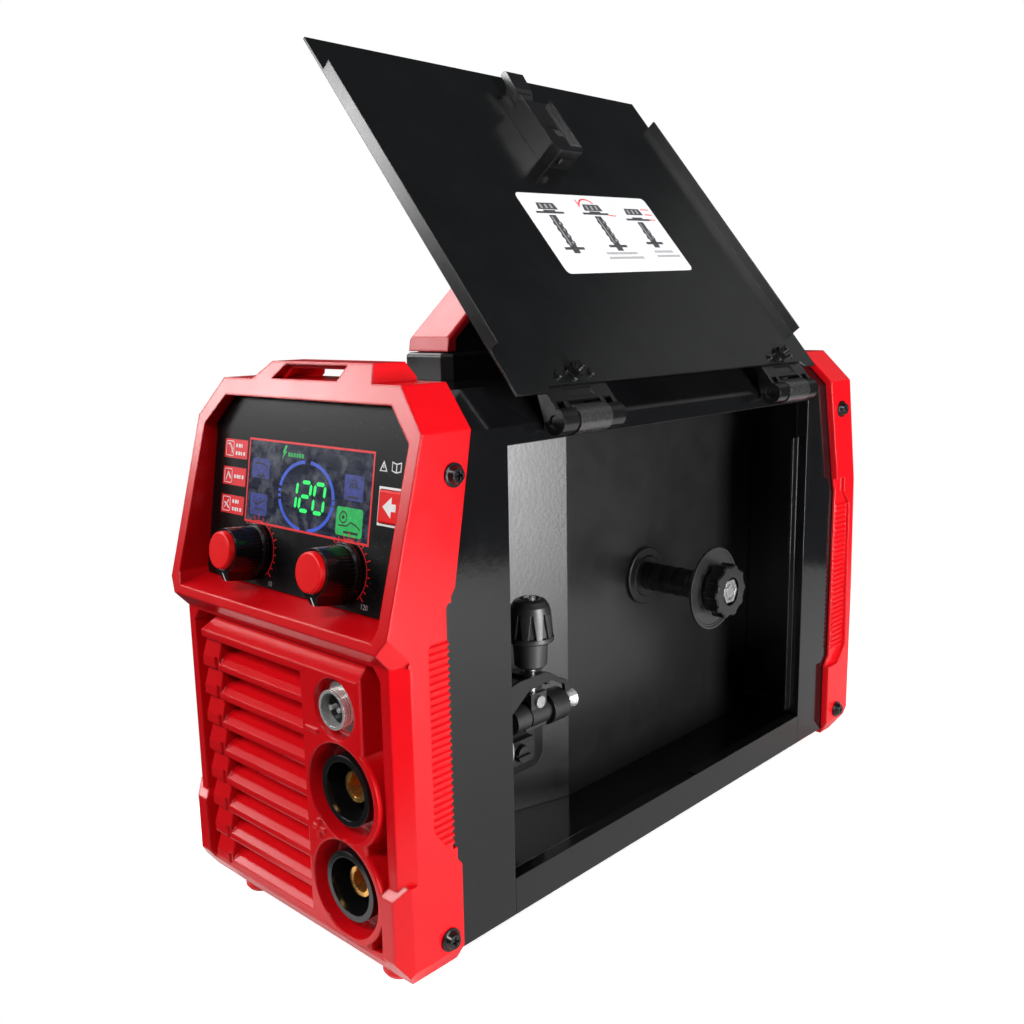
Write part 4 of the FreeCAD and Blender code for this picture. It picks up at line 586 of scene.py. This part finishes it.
def exploded(u, foot, top, gap):
    """Upright drawing of a spindle: foot, segmented shaft, flange and knob."""
    dark = [rectangle(u - 2.6, foot, u + 2.6, top - 1.0)]
    pale = [rectangle(u - 1.5, foot + 1.5, u - 0.7, top - 2.0)]
    steps = int((top - foot - 4.0) / 4.0)
    for k in range(steps):
        dark.append(rectangle(u - 3.3, foot + 2.2 + k * 4.0, u + 3.3, foot + 4.2 + k * 4.0))
        pale.append(rectangle(u + 0.8, foot + 2.6 + k * 4.0, u + 2.2, foot + 3.8 + k * 4.0))
    dark.append(rectangle(u - 7.5, foot - 1.2, u + 7.5, foot + 0.4))
    dark.append(rectangle(u - 2.4, foot - 3.4, u + 2.4, foot - 1.2))
    dark.append(rectangle(u - 10.5, top, u + 10.5, top + 1.3))
    dark.append(rectangle(u - 4.5, top + 1.3, u + 4.5, top + 2.2))
    knob = top + 2.2 + gap
    dark.append([(u - 7.4, knob), (u + 7.4, knob), (u + 6.4, knob + 4.2), (u - 6.4, knob + 4.2)])
    for k in range(3):
        left = u - 5.0 + k * 3.8
        pale.append(rectangle(left, knob + 0.7, left + 1.6, knob + 3.4))
    return dark, pale


dark_shapes, pale_shapes, red_shapes = [], [], []
for u, foot, top, gap in ((164.5, 91.0, 112.6, 0.4), (200.5, 92.4, 112.6, 0.4),
                          (234.5, 94.4, 109.4, 1.8)):
    dark, pale = exploded(u, foot, top, gap)
    dark_shapes += dark
    pale_shapes += pale
red_shapes.append(arc(198.0, 115.4, 7.4, 0.8, 40, 150, 12))
red_shapes.append(stroke([(191.0, 117.6), (190.6, 122.4)], 0.8))
red_shapes += [stroke([(243.0 + 0.8 * k, 117.4 - 3.6 * k), (250.0, 117.2 - 3.6 * k)], 0.6)
               for k in range(3)]
red_shapes.append(stroke([(211.0, 112.4), (216.5, 112.2)], 0.6))
# rows of small bars in place of words
for start, end, row in ((187, 213, 86.6), (187, 216, 83.6), (229, 246, 87.4), (229, 250, 84.4)):
    cursor = start
    step = 0
    while cursor < end:
        wide = (1.5, 0.8, 1.9, 1.1)[step % 4]
        pale_shapes.append(rectangle(cursor, row, min(cursor + wide, end), row + 1.5))
        cursor += wide + 0.55
        step += 1
marks("sticker_drawings", tilt(dark_shapes), door_face, DOOR_INNER + 0.18, 0.05, GREY_PRINT, "door")
marks("sticker_lines", tilt(pale_shapes), door_face, DOOR_INNER + 0.24, 0.05, PALE_PRINT, "door")
marks("sticker_arrows", tilt(red_shapes), door_face, DOOR_INNER + 0.20, 0.05, RED_PRINT, "door")

# ---- floor, light and camera ---------------------------------------------------------
FLOOR_X, FLOOR_Y, FLOOR_R = 0.17, 0.16, 0.44    # a disc under and behind the machine
FLOOR_LIFT = 0.72           # extra brightness that only the camera sees
AMBIENT = 0.05


def camera_only(tree, seen, unseen):
    """Mix of two shaders: one for the camera and one for reflections and bounced light."""
    path = node(tree, "ShaderNodeLightPath")
    mix = node(tree, "ShaderNodeMixShader")
    tree.links.new(path.outputs["Is Camera Ray"], mix.inputs["Fac"])
    tree.links.new(unseen, mix.inputs[1])
    tree.links.new(seen, mix.inputs[2])
    return mix.outputs[0]


def studio():
    """Paper floor and white backdrop; reflections see a dim room instead of the backdrop."""
    mesh = bpy.data.meshes.new("floor")
    ring = [(FLOOR_X + FLOOR_R * math.cos(math.radians(5 * k)),
             FLOOR_Y + FLOOR_R * math.sin(math.radians(5 * k)), 0.0) for k in range(72)]
    mesh.from_pydata([Vector(point) for point in ring], [], [list(range(72))])
    floor = bpy.data.objects.new("floor", mesh)
    bpy.context.scene.collection.objects.link(floor)
    paper = surface("floor_paper", (0.86, 0.86, 0.86), 0.6, vary=0.01, cloud=3.0)
    mesh.materials.append(paper)
    tree = paper.node_tree
    plain = tree.nodes["Principled BSDF"].outputs[0]
    glow = node(tree, "ShaderNodeEmission")
    glow.inputs["Color"].default_value = (1, 1, 1, 1)
    glow.inputs["Strength"].default_value = FLOOR_LIFT
    lifted = node(tree, "ShaderNodeAddShader")
    tree.links.new(plain, lifted.inputs[0])
    tree.links.new(glow.outputs[0], lifted.inputs[1])
    tree.links.new(camera_only(tree, lifted.outputs[0], plain),
                   tree.nodes["Material Output"].inputs["Surface"])
    floor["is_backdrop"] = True

    world = bpy.data.worlds.new("studio")
    bpy.context.scene.world = world
    world.use_nodes = True
    tree = world.node_tree
    backdrop = tree.nodes["Background"]
    backdrop.inputs["Color"].default_value = (1, 1, 1, 1)
    backdrop.inputs["Strength"].default_value = 1.0
    ambient = node(tree, "ShaderNodeBackground")
    ambient.inputs["Color"].default_value = (0.9, 0.95, 1.0, 1)
    ambient.inputs["Strength"].default_value = AMBIENT
    tree.links.new(camera_only(tree, backdrop.outputs[0], ambient.outputs[0]),
                   tree.nodes["World Output"].inputs["Surface"])


def softbox(name, place, aim, wide, tall, power):
    """Rectangular area light at a place, facing another, in metres and watts."""
    light = bpy.data.lights.new(name, "AREA")
    light.shape = "RECTANGLE"
    light.size = wide
    light.size_y = tall
    light.energy = power
    made = bpy.data.objects.new(name, light)
    bpy.context.scene.collection.objects.link(made)
    made.location = place
    made.rotation_euler = (Vector(aim) - Vector(place)).to_track_quat("-Z", "Y").to_euler()


studio()
CENTRE = (0.0, 0.0, 0.17)
softbox("key", (-0.92, -1.25, 0.82), CENTRE, 0.40, 0.34, 8.0)
softbox("low_key", (-1.16, -0.90, 0.55), CENTRE, 0.34, 0.26, 4.5)
softbox("overhead_left", (-1.05, 0.00, 1.25), CENTRE, 0.9, 0.7, 12.0)
softbox("front", (0.25, -1.25, 1.30), CENTRE, 0.5, 0.4, 14.0)
softbox("right", (0.85, 0.02, 0.14), (0.04, 0.0, 0.17), 0.36, 0.56, 14.0)
softbox("back", (0.45, 1.30, 1.00), CENTRE, 0.8, 0.5, 0.3)

camera_data = bpy.data.cameras.new("camera")
camera = bpy.data.objects.new("camera", camera_data)
bpy.context.scene.collection.objects.link(camera)
camera_data.sensor_width = 36.0
camera_data.lens = 37.18
camera_data.shift_x = 0.0193
camera_data.shift_y = 0.0006
azimuth, elevation, roll = (math.radians(value) for value in (44.22, 10.687, -1.234))
back = Vector((math.sin(azimuth) * math.cos(elevation), -math.cos(azimuth) * math.cos(elevation),
               math.sin(elevation)))
right = Vector((math.cos(azimuth), math.sin(azimuth), 0.0))
up = back.cross(right)
right, up = (right * math.cos(roll) + up * math.sin(roll),
             up * math.cos(roll) - right * math.sin(roll))
pose = Matrix((right, up, back)).transposed().to_4x4()
pose.translation = at(354.26, -232.96, 265.42)
camera.matrix_world = pose
bpy.context.scene.camera = camera
bpy.context.scene.view_settings.view_transform = "Standard"

low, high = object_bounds()
